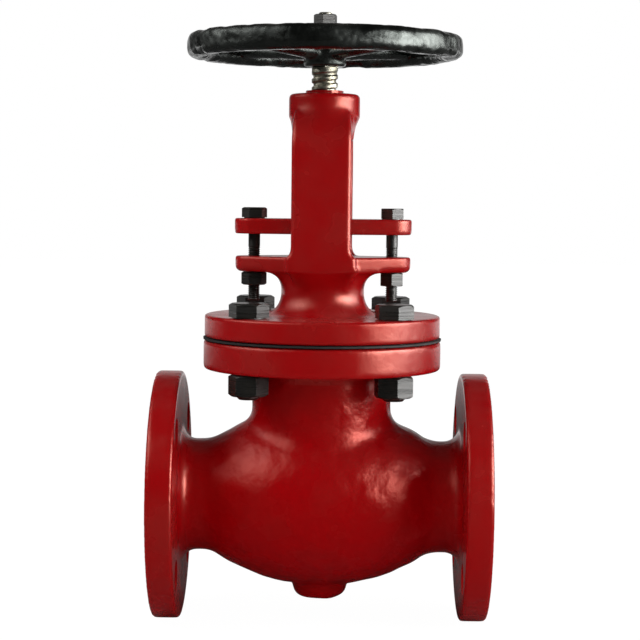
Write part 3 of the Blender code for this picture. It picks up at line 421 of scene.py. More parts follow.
def finish_skin(piece):
    """Sound triangles where cuts left many-sided faces, smooth shading, and sharp machined edges."""
    bm = bmesh.new()
    bm.from_mesh(piece.data)
    bmesh.ops.dissolve_degenerate(bm, dist=WELD, edges=bm.edges)
    many_sided = [face for face in bm.faces if len(face.verts) > 4]
    bmesh.ops.triangulate(bm, faces=many_sided, quad_method="BEAUTY", ngon_method="BEAUTY")
    bmesh.ops.dissolve_degenerate(bm, dist=WELD, edges=bm.edges)
    bm.to_mesh(piece.data)
    bm.free()
    shade(piece, SHARP_ANGLE)


def corner_places(circle_radius):
    """Four places on a circle, halfway between the axes, from front left round to front right."""
    places = []
    for degrees in (225, 135, 45, 315):
        angle = math.radians(degrees)
        places.append((circle_radius * math.cos(angle), circle_radius * math.sin(angle)))
    return places


def bonnet_holes(low, high):
    places = corner_places(BONNET_HOLE_CIRCLE_RADIUS)
    return [cylinder(BONNET_HOLE_RADIUS, low - EDGE, high + EDGE, place) for place in places]


def gland_holes(low, high):
    return [cylinder(GLAND_HOLE_RADIUS, low - EDGE, high + EDGE, place) for place in GLAND_PLACES]


def press_end_faces(piece, face):
    """Lay the points of a remeshed skin that belong to the two end faces exactly onto them."""
    for corner in piece.data.vertices:
        if abs(corner.co.x) > face - FACE_PRESS:
            corner.co.x = math.copysign(face, corner.co.x)


# Body casting
def blend_centre():
    """Centre (x, radius) of the hollow arc between the bulb and a pipe neck."""
    drop = BULB_ARC_RADIUS - BULB_RADIUS
    centre_radius = PIPE_NECK_RADIUS + PIPE_NECK_BLEND_RADIUS
    reach = BULB_ARC_RADIUS + PIPE_NECK_BLEND_RADIUS
    return math.sqrt(reach ** 2 - (drop + centre_radius) ** 2), centre_radius


def bulb_radius(x):
    """Outer radius of the body at a place along the pipe, without its flanges."""
    blend_x, blend_radius = blend_centre()
    distance = abs(x)
    tangent_x = blend_x * BULB_ARC_RADIUS / (BULB_ARC_RADIUS + PIPE_NECK_BLEND_RADIUS)
    if distance <= tangent_x:
        return math.sqrt(BULB_ARC_RADIUS ** 2 - distance ** 2) - (BULB_ARC_RADIUS - BULB_RADIUS)
    if distance < blend_x:
        return blend_radius - math.sqrt(PIPE_NECK_BLEND_RADIUS ** 2 - (blend_x - distance) ** 2)
    return PIPE_NECK_RADIUS


def mirrored(half):
    return [(radius, -x) for radius, x in reversed(half[1:])] + half


def body_curve(wall, steps):
    blend_x = blend_centre()[0]
    return [(bulb_radius(blend_x * i / steps) - wall, blend_x * i / steps) for i in range(steps + 1)]


def body_outline():
    face = FACE_TO_FACE / 2
    back = face - END_FLANGE_THICKNESS
    fillet_centre = (PIPE_NECK_RADIUS + END_FLANGE_FILLET, back - END_FLANGE_FILLET)
    rim = END_FLANGE_RADIUS - EDGE
    half = body_curve(0.0, steps=40)
    half += arc(fillet_centre, END_FLANGE_FILLET, 180, 90, steps=12)
    half += corner_arc(rim, back + EDGE, -90)
    half += corner_arc(rim, face - EDGE, 0)
    half.append((0.0, face))
    return mirrored(half)


def cavity_outline(wall):
    face = FACE_TO_FACE / 2
    half = body_curve(wall, steps=24)
    half.append((PORT_RADIUS, face - END_FLANGE_THICKNESS))
    half.append((PORT_RADIUS, face + EDGE))
    half.append((0.0, face + EDGE))
    return mirrored(half)


def neck_profile(azimuth):
    """Upright neck and its flange at one azimuth, from the flange's face down."""
    rim = BODY_FLANGE_RADIUS - EDGE
    fillet = BODY_FLANGE_FILLET
    points = corner_arc(rim, BODY_FLANGE_HIGH - EDGE, 0)[::-1]
    points += corner_arc(rim, BODY_FLANGE_LOW + EDGE, -90)[::-1]
    points += arc((NECK_RADIUS + fillet, BODY_FLANGE_LOW - fillet), fillet, 90, 180, steps=8)
    crotch = CROTCH_FILLET + (CROTCH_FILLET_FRONT - CROTCH_FILLET) * math.sin(azimuth) ** 2
    height, touch = rest_ball(azimuth, crotch)
    points += arc((NECK_RADIUS + crotch, height), crotch, 180, touch, CURVE_STEPS)
    foot = NECK_RADIUS * NECK_FOOT_SHARE
    points += [(foot, points[-1][1] - 2 * BODY_WALL), (foot, PORT_RADIUS / 2)]
    return points


def rest_ball(azimuth, ball):
    """Height of a ball that rests on the bulb against the neck, and the angle where it touches."""
    across = NECK_RADIUS + ball
    section = []
    for i in range(SECTION_STEPS + 1):
        radius = NECK_RADIUS + 2 * ball * (i / SECTION_STEPS - 0.2)
        along = bulb_radius(radius * math.cos(azimuth))
        side = abs(radius * math.sin(azimuth))
        if along > side:
            section.append((radius, math.sqrt(along ** 2 - side ** 2)))
    low = max(height for radius, height in section if radius >= min(across, section[-1][0]))
    high = low + 4 * ball
    for _ in range(HALVINGS):
        middle = (low + high) / 2
        if min(math.hypot(r - across, h - middle) for r, h in section) < ball:
            low = middle
        else:
            high = middle
    touch = min(section, key=lambda point: math.hypot(point[0] - across, point[1] - high))
    return high, math.degrees(math.atan2(touch[1] - high, touch[0] - across)) % 360


def neck_shape(columns):
    profiles = []
    for i in range(columns):
        azimuth = math.tau * i / columns
        profiles.append([
            (radius * math.cos(azimuth), radius * math.sin(azimuth), height)
            for radius, height in neck_profile(azimuth)])
    return loft(list(zip(*profiles)))


def boss_outline():
    curve = quarter_ellipse((BOSS_RADIUS, -BULB_RADIUS), (BOSS_FACE_RADIUS, -BOSS_REACH), steps=10)
    root = BULB_RADIUS - BODY_WALL * BOSS_ROOT_SHARE
    return [(0.0, -BOSS_REACH)] + curve[::-1] + [(BOSS_RADIUS, -root), (0.0, -root)]


def bridge_shape():
    """Wall inside the body that rises from under the inlet side to over the outlet side."""
    upper = []
    lower = []
    for i in range(BRIDGE_STEPS + 1):
        share = math.sin(math.pi / 2 * (2 * i / BRIDGE_STEPS - 1))
        x = BRIDGE_HALF_LENGTH * share
        z = -BRIDGE_DROP - BRIDGE_RISE * share ** BRIDGE_STEEPNESS
        slope = -BRIDGE_RISE / BRIDGE_HALF_LENGTH * BRIDGE_STEEPNESS * share ** (BRIDGE_STEEPNESS - 1)
        across = Vector((-slope, 1.0)).normalized() * BRIDGE_THICKNESS / 2
        upper.append((x + across.x, z + across.y))
        lower.append((x - across.x, z - across.y))
    bm = prism(lower + upper[::-1], -BULB_RADIUS, BULB_RADIUS)
    bmesh.ops.rotate(bm, verts=bm.verts, cent=(0, 0, 0), matrix=Matrix.Rotation(math.pi / 2, 3, "X"))
    return bm


def make_bridge():
    """Bridge with its seat pad, trimmed to the inside of the body's wall, as a bmesh."""
    pad_radius, pad_top, pad_thickness = SEAT_PAD
    recess_radius, recess_top = SEAT_RECESS
    bridge = new_piece("bridge", bridge_shape())
    boolean(bridge, "UNION", cylinder(pad_radius, pad_top - pad_thickness, pad_top))
    boolean(bridge, "INTERSECT", turned(cavity_outline(BODY_WALL / 2), steps=64, along_x=True))
    boolean(bridge, "DIFFERENCE", cylinder(SEAT_HOLE_RADIUS, -pad_thickness, pad_top + HAIR))
    boolean(bridge, "DIFFERENCE", cylinder(recess_radius, pad_top, recess_top))
    whole = bmesh.new()
    whole.from_mesh(bridge.data)
    bpy.data.objects.remove(bridge)
    return whole


def roughen(piece, scale, depth, keeps):
    """Sink a casting's surface here and there, except where a face is machined."""
    normals = [vertex.normal.copy() for vertex in piece.data.vertices]
    for vertex, normal in zip(piece.data.vertices, normals):
        lumps = 0.5 + noise.noise(vertex.co * scale)
        vertex.co -= normal * depth * max(0.0, lumps) * keeps(vertex.co)


def body_roughness(place):
    """1 on the body's cast skin, falling to 0 on its flanges' rims and faces."""
    back = FACE_TO_FACE / 2 - END_FLANGE_THICKNESS
    along = (back - abs(place.x)) / END_FLANGE_FILLET
    up = (BODY_FLANGE_LOW - BODY_FLANGE_FILLET - place.z) / BODY_FLANGE_FILLET
    return max(0.0, min(1.0, along, up))


def make_body():
    """Body skin: outside cast in one, then bored, faced and drilled."""
    face = FACE_TO_FACE / 2
    body = new_piece("valve_body_shell", turned(body_outline(), steps=128, along_x=True))
    for shape in (neck_shape(columns=120), turned(boss_outline(), steps=64)):
        boolean(body, "UNION", shape)
    cast_skin(body, CASTING_VOXEL, smoothing=8)
    press_end_faces(body, face)
    roughen(body, SKIN_LUMP_SCALE, SKIN_LUMP_DEPTH, body_roughness)
    holes = []
    for place in corner_places(END_HOLE_CIRCLE_RADIUS):
        for start, end in ((END_HOLE_START, face + EDGE), (-face - EDGE, -END_HOLE_START)):
            holes.append(cylinder(END_HOLE_RADIUS, start, end, place, along_x=True))
    holes += bonnet_holes(BODY_FLANGE_LOW, BODY_FLANGE_HIGH)
    boolean(body, "DIFFERENCE", merged(holes))
    boolean(body, "DIFFERENCE", turned(cavity_outline(BODY_WALL), steps=64, along_x=True))
    boolean(body, "DIFFERENCE", cylinder(
        NECK_BORE_RADIUS, NECK_BORE_START, BODY_FLANGE_HIGH + EDGE, steps=72))
    boolean(body, "UNION", make_bridge())
    finish_skin(body)
    return body


# Bonnet casting with its yoke
def eye_ring(height, middle_radius, end_radius, steps=24):
    """Ring round the stem and the two gland bolts, with straight tangents from circle to circle."""
    tangent = math.degrees(math.acos((middle_radius - end_radius) / GLAND_BOLT_X))
    outline = arc((GLAND_BOLT_X, 0.0), end_radius, -tangent, tangent, steps)
    outline += arc((0.0, 0.0), middle_radius, tangent, 180 - tangent, steps)
    outline += arc((-GLAND_BOLT_X, 0.0), end_radius, 180 - tangent, 180 + tangent, steps)
    outline += arc((0.0, 0.0), middle_radius, 180 + tangent, 360 - tangent, steps)
    return [(x, y, height) for x, y in outline]


def rounded_rectangle(width, depth, corner, steps):
    across = width / 2 - corner
    up = depth / 2 - corner
    outline = []
    for quarter, (side, level) in enumerate(((1, 1), (-1, 1), (-1, -1), (1, -1))):
        outline += arc((side * across, level * up), corner, 90 * quarter, 90 * quarter + 90, steps)
    return outline


def bonnet_outline():
    """Flange and the spigot under it, as a half section."""
    spigot = NECK_BORE_RADIUS - SPIGOT_CLEARANCE
    rim = BONNET_FLANGE_RADIUS - EDGE
    low, high = BONNET_FLANGE_HEIGHTS
    outline = [(0.0, low - SPIGOT_LENGTH), (spigot, low - SPIGOT_LENGTH), (spigot, low)]
    outline += corner_arc(rim, low + EDGE, -90)
    outline += corner_arc(rim, high - EDGE, 0)
    outline.append((0.0, high))
    return outline


def neck_top_reach(angle):
    """How far lug plate and leg feet together reach from the stem's axis, limited at the sides."""
    across = max(HAIR, abs(math.cos(angle)))
    ahead = max(HAIR, abs(math.sin(angle)))
    tangent = math.acos((LUG_PLATE_MIDDLE_RADIUS - LUG_END_RADIUS) / GLAND_BOLT_X)
    plate = LUG_PLATE_MIDDLE_RADIUS
    if math.atan2(ahead, across) < tangent:
        plate /= across * math.cos(tangent) + ahead * math.sin(tangent)
    foot_side = YOKE_LEG_WIDTH / 2 + YOKE_FOOT_FLARE
    foot_front = YOKE_LEG_OFFSET + YOKE_LEG_THICKNESS / 2
    foot = min(foot_side / across, foot_front / ahead)
    return min(max(plate, foot), (WAIST_RADIUS + NECK_TOP_COVE) / across)


def bonnet_neck():
    """Neck between flange and lug plate: round at its foot, flush with legs and plate at its top."""
    high = BONNET_FLANGE_HEIGHTS[1]
    lug_under = LUG_PLATE_HEIGHTS[0]
    middle = (high + lug_under) / 2
    front_end = lug_under + NECK_FRONT_RUN
    cove = quarter_ellipse((0.0, middle), (NECK_BASE_COVE, high), steps=12)[::-1]
    spread = quarter_ellipse((0.0, WAIST_HEIGHT), (1.0, lug_under), CURVE_STEPS)
    levels = [(NECK_BASE_COVE, high - EDGE, 0.0)]
    levels += [(flare, height, 0.0) for flare, height in cove]
    levels += [(0.0, height, share) for share, height in spread]
    levels.append((0.0, front_end, 1.0))
    rings = []
    for flare, height, side_share in levels:
        front_share = eased(min(1.0, max(0.0, (height - middle) / (front_end - middle))))

        def reach(angle):
            share = side_share * math.cos(angle) ** 2 + front_share * math.sin(angle) ** 2
            return WAIST_RADIUS + flare + (neck_top_reach(angle) - WAIST_RADIUS) * share

        rings.append(level_ring(height, reach, NECK_RING_STEPS))
    return loft(rings)


def lug_plate_shape():
    """Plate for the gland bolts, drafted thinner towards its two ends."""
    low, high = LUG_PLATE_HEIGHTS
    levels = [(low + rise, middle_cut, end_cut) for rise, middle_cut, end_cut in LUG_PLATE_DRAFT]
    levels.append((high, 0.0, 0.0))
    return loft([
        eye_ring(height, LUG_PLATE_MIDDLE_RADIUS - middle_cut, LUG_END_RADIUS - end_cut)
        for height, middle_cut, end_cut in levels])


def yoke_leg(side):
    """One leg, from the underside of the lug plate up and over into the hub."""
    lug_low, lug_top = LUG_PLATE_HEIGHTS
    straight_top = YOKE_HUB_HEIGHTS[0] - YOKE_LEG_THICKNESS / 2
    foot_top = (0.0, lug_top + YOKE_FOOT_RISE)
    foot = quarter_ellipse(foot_top, (YOKE_FOOT_FLARE, lug_top), steps=10)[::-1]
    stations = [(YOKE_LEG_OFFSET, lug_low, 0.0, YOKE_FOOT_FLARE)]
    stations += [(YOKE_LEG_OFFSET, height, 0.0, flare) for flare, height in foot]
    for step in range(LEAN_STEPS + 1):
        lean = math.radians(LEAN_MOST * step / LEAN_STEPS)
        offset = YOKE_LEG_OFFSET - YOKE_HUB_RADIUS * (1 - math.cos(lean))
        height = straight_top + YOKE_HUB_RADIUS * math.sin(lean)
        stations.append((offset, height, lean, -YOKE_LEG_NARROWING * (step / LEAN_STEPS) ** 2))
    rings = []
    for offset, height, lean, flare in stations:
        inner_flare = max(flare, 0.0)
        outline = rounded_rectangle(
            YOKE_LEG_WIDTH + 2 * flare, YOKE_LEG_THICKNESS + inner_flare, YOKE_LEG_CORNER, steps=5)
        middle = offset - inner_flare / 2
        shift = FRONT_LEG_SHIFT if side < 0 else 0.0
        rings.append([
            (x + shift, side * (middle + y * math.cos(lean)), height + y * math.sin(lean))
            for x, y in outline])
    return loft(rings)


def hub_apron():
    """Stretch over which the outer faces of both legs run up into the round hub."""
    low, high = YOKE_HUB_HEIGHTS[0], YOKE_HUB_HEIGHTS[0] + APRON_RUN
    rings = []
    for step in range(CURVE_STEPS + 1):
        share = step / CURVE_STEPS
        ease = eased(share)
        height = low + (high - low) * share
        points = []
        for i in range(APRON_RING_STEPS):
            angle = math.tau * i / APRON_RING_STEPS
            across = max(HAIR, abs(math.cos(angle)))
            ahead = max(HAIR, abs(math.sin(angle)))
            leg = min(YOKE_LEG_WIDTH / 2 / across, APRON_FRONT / ahead)
            reach = leg + (YOKE_HUB_RADIUS - leg) * ease
            shift = FRONT_LEG_SHIFT * (1 - ease) if math.sin(angle) < 0 else 0.0
            points.append((reach * math.cos(angle) + shift, reach * math.sin(angle), height))
        rings.append(points)
    return loft(rings)


def hub_outline():
    low, high = YOKE_HUB_HEIGHTS
    shoulder = YOKE_HUB_SHOULDER
    outline = [
        (0.0, low),
        (YOKE_LEG_WIDTH / 2 - YOKE_LEG_CORNER, low),
        (YOKE_HUB_RADIUS, (low + high) / 2)]
    outline += arc((YOKE_HUB_RADIUS - shoulder, high - shoulder), shoulder, 0, 90, steps=8)
    outline.append((0.0, high))
    return outline


def make_bonnet():
    """Bonnet skin: flange, neck, lug plate and yoke cast in one, then bored and drilled."""
    hub_low, hub_high = YOKE_HUB_HEIGHTS
    bonnet = new_piece("bonnet_casting", turned(bonnet_outline(), steps=128))
    hub = turned(hub_outline(), steps=72)
    for shape in (bonnet_neck(), lug_plate_shape(), yoke_leg(-1), yoke_leg(1), hub, hub_apron()):
        boolean(bonnet, "UNION", shape)
    cast_skin(bonnet, BONNET_VOXEL, smoothing=7)
    holes = bonnet_holes(*BONNET_FLANGE_HEIGHTS) + gland_holes(*LUG_PLATE_HEIGHTS)
    boolean(bonnet, "DIFFERENCE", merged(holes))
    boolean(bonnet, "DIFFERENCE", turned(STUFFING_BOX_OUTLINE, steps=48))
    boolean(bonnet, "DIFFERENCE", cylinder(YOKE_BORE_RADIUS, hub_low - EDGE, hub_high + EDGE))
    finish_skin(bonnet)
    return bonnet


# Gland flange
def make_gland_flange():
    """Follower plate with rounded edges, drilled for the stem and its two bolts."""
    low, high = GLAND_FLANGE_HEIGHTS
    lower_edge, upper_edge = GLAND_EDGE_HEIGHTS
    boss_depth, boss_foot, boss_top = GLAND_BOSS
    seat_radius, seat_height = GLAND_BUSH_SEAT
    levels = (
        (low, GLAND_DRAFT), (low + lower_edge, 0.0), (high - upper_edge, 0.0), (high, GLAND_DRAFT))
    flange = new_piece("gland_follower_plate", loft([
        eye_ring(height, GLAND_MIDDLE_RADIUS - inset, GLAND_END_RADIUS - inset)
        for height, inset in levels]))
    boss = [
        (0.0, high - boss_depth),
        (STEM_RADIUS + boss_foot, high - boss_depth),
        (STEM_RADIUS + boss_top, high),
        (0.0, high)]
    boolean(flange, "UNION", turned(boss, steps=48))
    cast_skin(flange, GLAND_VOXEL, smoothing=3)
    boolean(flange, "DIFFERENCE", cylinder(seat_radius, low - EDGE, seat_height))
    bore = cylinder(STEM_RADIUS + GLAND_BORE_CLEARANCE, low, high + EDGE)
    boolean(flange, "DIFFERENCE", merged([bore] + gland_holes(low, high)))
    finish_skin(flange)
    return flange


# Packing
def make_packing_ring(number):
    """One braided ring: a rounded square section with slanting strands, closed round the stem."""
    inner, outer, height = PACKING_RING
    middle = PACKING_BASE + PACKING_GAP + height / 2 + number * (height + PACKING_GAP)
    section = rounded_rectangle(outer - inner, height, PACKING_CORNER, steps=5)
    rings = []
    for i in range(NECK_RING_STEPS):
        angle = math.tau * i / NECK_RING_STEPS
        points = []
        for j, (across, up) in enumerate(section):
            strand = math.sin(BRAID_STRANDS * angle + 3 * math.tau * j / len(section))
            share = 1 - BRAID_DEPTH * (1 + strand)
            reach = (inner + outer) / 2 + across * share
            points.append((reach * math.cos(angle), reach * math.sin(angle), middle + up * share))
        rings.append(points)
    ring = new_piece(f"braided_packing_{number + 1}", loft(rings, closed=True))
    ring.data.shade_smooth()
    return ring


# Threads, bolts and nuts
def thread_reach(height, angle, low, high, radius, depth, pitch):
    """Radius of a screw thread at one place, run out over one pitch at both ends."""
    phase = (height / pitch - angle / math.tau) % 1.0
    ridge = min(1.0, max(0.0, THREAD_SLOPE * (1 - abs(2 * phase - 1)) - THREAD_ROOT))
    run_out = min(1.0, max(0.0, (height - low) / pitch), max(0.0, (high - height) / pitch))
    return radius - depth * (1 - ridge) * run_out


def threaded_rod(heights, radius, depth, pitch):
    """Rings of a rod that carries a thread between two heights."""
    low, high = heights
    rows = max(2, round((high - low) / pitch * THREAD_ROWS))
    rings = []
    for row in range(rows + 1):
        height = low + (high - low) * row / rows
        rings.append(level_ring(
            height, lambda angle: thread_reach(height, angle, low, high, radius, depth, pitch)))
    return rings


def chamfered(low, high, flat, both=True):
    """Rings of a hexagon whose corners are turned off at the top, and at the bottom too if both."""
    corner = flat / math.cos(math.pi / 6)
    slope = math.tan(math.radians(30))
    face = flat * CHAMFER_SHARE
    limits = [face + (corner - face) * (i / CHAMFER_STEPS) for i in range(CHAMFER_STEPS + 1)]
    if both:
        rings = [polygon(low + (limit - face) * slope, 6, flat, limit) for limit in limits]
    else:
        rings = [polygon(low, 6, flat)]
    return rings + [polygon(high - (limit - face) * slope, 6, flat, limit) for limit in reversed(limits)]


def bolt_shape(end, seat, head, radius, flat, pitch, thread_top):
    """Hexagon bolt: chamfered point, thread, plain shank, washer face and head."""
    lead = radius * BOLT_POINT_SHARE
    washer_face = flat * WASHER_FACE_SHARE
    rings = [circle(end, radius - lead)]
    rings += threaded_rod((end + lead, thread_top), radius, radius * BOLT_THREAD_SHARE, pitch)
    rings.append(circle(seat - HAIR, radius))
    rings.append(circle(seat - HAIR, washer_face))
    rings.append(circle(seat + WASHER_FACE, washer_face))
    rings += chamfered(seat + WASHER_FACE, seat + head, flat, both=False)
    return loft(rings)


def nut_shape(low, height, bore, flat):
    rings = [circle(low, bore)]
    rings += chamfered(low, low + height, flat)
    rings.append(circle(low + height, bore))
    return loft(rings, closed=True)


def finish_fastener(name, bm, place, turn):
    turned_by = Matrix.Rotation(math.radians(turn), 3, "Z")
    bmesh.ops.rotate(bm, verts=bm.verts, cent=(0, 0, 0), matrix=turned_by)
    bmesh.ops.translate(bm, verts=bm.verts, vec=(*place, 0.0))
    piece = new_piece(name, bm)
    shade(piece, FASTENER_SHARP_ANGLE)
    return piece


def make_fasteners(kind, labels, places, turns, size, bolt_heights, nut_heights, thread_top):
    """A bolt and its nut at each place, turned as in the photo, with the place's label."""
    radius, flat, pitch = size
    sets = []
    for label, place, turn in zip(labels, places, turns):
        bolt = bolt_shape(*bolt_heights, radius, flat, pitch, thread_top)
        nut = nut_shape(*nut_heights, radius + 2 * HAIR, flat)
        sets.append((
            label,
            finish_fastener(f"{kind}_bolt_{label}", bolt, place, turn),
            finish_fastener(f"{kind}_nut_{label}", nut, place, turn)))
    return sets


# Stem
def make_stem():
    """Stem from its button end up: collar, plain length, thread, square and stud."""
    low, high = STEM_THREAD_HEIGHTS
    button_low, button_high, button_radius = STEM_BUTTON
    collar_low, collar_high, collar_radius = STEM_COLLAR
    rings = [
        circle(button_low, button_radius - STEM_CHAMFER),
        circle(button_low + STEM_CHAMFER, button_radius),
        circle(button_high, button_radius),
        circle(button_high, STEM_RADIUS),
        circle(collar_low, STEM_RADIUS),
        circle(collar_low + STEM_CHAMFER, collar_radius),
        circle(collar_high, collar_radius),
        circle(collar_high, STEM_RADIUS)]
    rings += threaded_rod((low, high), STEM_RADIUS, STEM_THREAD_DEPTH, STEM_THREAD_PITCH)
    rings += [
        circle(STEM_SHOULDER_HEIGHT - 2 * HAIR, STEM_RADIUS),
        circle(STEM_SHOULDER_HEIGHT, STEM_RADIUS - 2 * HAIR),
        polygon(STEM_SHOULDER_HEIGHT, 4, STEM_SQUARE, STEM_RADIUS),
        polygon(STEM_SQUARE_TOP, 4, STEM_SQUARE, STEM_RADIUS),
        circle(STEM_SQUARE_TOP, STUD_RADIUS)]
    rings += threaded_rod(STUD_HEIGHTS, STUD_RADIUS, STUD_THREAD_DEPTH, STUD_THREAD_PITCH)
    rings.append(circle(STUD_POINT_HEIGHT, STUD_RADIUS - STUD_THREAD_DEPTH))
    stem = new_piece("rising_stem", loft(rings))
    shade(stem, SHARP_ANGLE)
    return stem


# Handwheel
def spoke_shape(azimuth):
    """Oval spoke that arches a little upward from the hub to the rim."""
    width, depth = WHEEL_SPOKE_SIZE
    ends_share, waist_share = WHEEL_SPOKE_WAIST
    low = WHEEL_HUB_HEIGHTS[0] + depth
    high = sum(WHEEL_RIM_HEIGHTS) / 2
    rings = []
    for step in range(CURVE_STEPS + 1):
        share = step / CURVE_STEPS
        reach = WHEEL_SPOKE_START + (WHEEL_RIM_MIDDLE - WHEEL_SPOKE_START) * share
        height = low + (high - low) * math.sin(math.pi / 2 * share)
        across = width * (ends_share - waist_share * math.sin(math.pi * share))
        points = []
        for i in range(SPOKE_RING_STEPS):
            angle = math.tau * i / SPOKE_RING_STEPS
            side = across / 2 * math.cos(angle)
            points.append((
                reach * math.cos(azimuth) - side * math.sin(azimuth),
                reach * math.sin(azimuth) + side * math.cos(azimuth),
                height + depth / 2 * math.sin(angle)))
        rings.append(points)
    return loft(rings)


def make_handwheel():
    """Cast wheel: uneven rim, spokes and hub run together, with a square hole for the stem."""
    low, high = WHEEL_HUB_HEIGHTS
    rim_low, rim_high = WHEEL_RIM_HEIGHTS
    section = rounded_rectangle(WHEEL_RIM_WIDTH, rim_high - rim_low, WHEEL_RIM_CORNER, steps=8)
    outline = [(WHEEL_RIM_MIDDLE + x, (rim_low + rim_high) / 2 + z) for x, z in section]
    wheel = new_piece("cast_handwheel", turned(outline, steps=144))
    for number in range(WHEEL_SPOKE_COUNT):
        boolean(wheel, "UNION", spoke_shape(math.tau * (number + 0.5) / WHEEL_SPOKE_COUNT))
    boolean(wheel, "UNION", turned([
        (0.0, low), (WHEEL_HUB_RADIUS - EDGE, low), (WHEEL_HUB_RADIUS, low + EDGE),
        (WHEEL_HUB_RADIUS, high - EDGE), (WHEEL_HUB_RADIUS - EDGE, high), (0.0, high)], steps=64))
    cast_skin(wheel, WHEEL_VOXEL, smoothing=6)
    pit_rim(wheel)
    square = STEM_SQUARE + 3 * HAIR
    boolean(wheel, "DIFFERENCE", loft([polygon(low - EDGE, 4, square), polygon(high + EDGE, 4, square)]))
    finish_skin(wheel)
    return wheel


def pit_rim(wheel):
    """Sink the rim's surface here and there, as a rough sand casting's is."""
    normals = [vertex.normal.copy() for vertex in wheel.data.vertices]
    for vertex, normal in zip(wheel.data.vertices, normals):
        place = vertex.co
        reach = math.hypot(place.x, place.y)
        nearness = max(0.0, 1 - abs(reach - WHEEL_RIM_MIDDLE) / (WHEEL_RIM_WIDTH * RIM_FADE_SHARE))
        lumps = noise.noise(place * RIM_LUMP_SCALE)
        grain = noise.noise(place * RIM_GRAIN_SCALE)
        dip = max(0.0, RIM_LUMP_LEVEL - lumps) * RIM_LUMP_DEPTH + max(0.0, -grain) * RIM_GRAIN_DEPTH
        vertex.co -= normal * dip * min(1.0, 2 * nearness)


def make_washer():
    inner, outer, low, high = WHEEL_WASHER
    edge = (high - low) / 4
    outline = [
        (inner, low), (outer - edge, low), (outer, low + edge),
        (outer, high - edge), (outer - edge, high), (inner, high)]
    washer = new_piece("stem_washer", turned(outline, steps=64))
    shade(washer, FASTENER_SHARP_ANGLE)
    return washer


def make_wheel_nut():
    return finish_fastener("stem_nut", nut_shape(*WHEEL_NUT), (0.0, 0.0), WHEEL_NUT_TURN)


# Effects that several finishes share
def new_group(name, inputs, outputs):
    """Node group with float inputs, given as name and value, and the named outputs."""
    group = bpy.data.node_groups.new(name, "ShaderNodeTree")
    for label, value in inputs:
        socket = group.interface.new_socket(label, in_out="INPUT", socket_type="NodeSocketFloat")
        socket.default_value = value
    for label in outputs:
        group.interface.new_socket(label, in_out="OUTPUT", socket_type="NodeSocketFloat")
    source = group.nodes.new("NodeGroupInput")
    target = group.nodes.new("NodeGroupOutput")
    return group, source, target


def put(tree, kind, **settings):
    node = tree.nodes.new(kind)
    for name, value in settings.items():
        setattr(node, name, value)
    return node


def feed(tree, value, socket):
    """Link a socket to another one, or set it to a number or a colour."""
    if isinstance(value, bpy.types.NodeSocket):
        tree.links.new(value, socket)
    elif isinstance(value, tuple):
        socket.default_value = (*value, 1.0)
    else:
        socket.default_value = value


def calculate(tree, operation, first, second=0.0):
    """Math node over one or two values or sockets; returns its result."""
    node = put(tree, "ShaderNodeMath", operation=operation)
    feed(tree, first, node.inputs[0])
    feed(tree, second, node.inputs[1])
    return node.outputs["Value"]


def product(tree, first, second):
    return calculate(tree, "MULTIPLY", first, second)


def parts_of(tree, vector):
    """X, Y and Z of a vector socket."""
    node = put(tree, "ShaderNodeSeparateXYZ")
    feed(tree, vector, node.inputs["Vector"])
    return node.outputs


def span(tree, value, low, high, to_low=0.0, to_high=1.0):
    """Stretch the part of a value between low and high to another range, and clamp it."""
    node = put(tree, "ShaderNodeMapRange", clamp=True, interpolation_type="SMOOTHSTEP")
    feed(tree, value, node.inputs["Value"])
    for label, level in (("From Min", low), ("From Max", high), ("To Min", to_low), ("To Max", to_high)):
        feed(tree, level, node.inputs[label])
    return node.outputs["Result"]


def grain_noise(tree, scale, detail=2.0, roughness=0.5):
    """Noise over the object's own place, in metres; returns its value."""
    place = put(tree, "ShaderNodeTexCoord")
    node = put(tree, "ShaderNodeTexNoise")
    feed(tree, place.outputs["Object"], node.inputs["Vector"])
    for label, value in (("Detail", detail), ("Roughness", roughness), ("Scale", scale)):
        feed(tree, value, node.inputs[label])
    return node.outputs["Fac"]


def casting_group():
    """Sand-cast skin: heights of its grain and slow waves, and patches to vary a colour by."""
    inputs = (("Grain Scale", 700.0), ("Grain Height", 0.00003), ("Wave Scale", 90.0),
              ("Wave Height", 0.0003), ("Patch Scale", 25.0))
    group, source, target = new_group("casting skin", inputs, ("Height", "Patches", "Grain"))
    grain = grain_noise(group, source.outputs["Grain Scale"], detail=3.0)
    waves = grain_noise(group, source.outputs["Wave Scale"], detail=1.0)
    patches = grain_noise(group, source.outputs["Patch Scale"], detail=3.0, roughness=0.6)
    fine = product(group, grain, source.outputs["Grain Height"])
    slow = product(group, waves, source.outputs["Wave Height"])
    feed(group, calculate(group, "ADD", fine, slow), target.inputs["Height"])
    feed(group, span(group, patches, low=0.2, high=0.8), target.inputs["Patches"])
    feed(group, grain, target.inputs["Grain"])
    return group


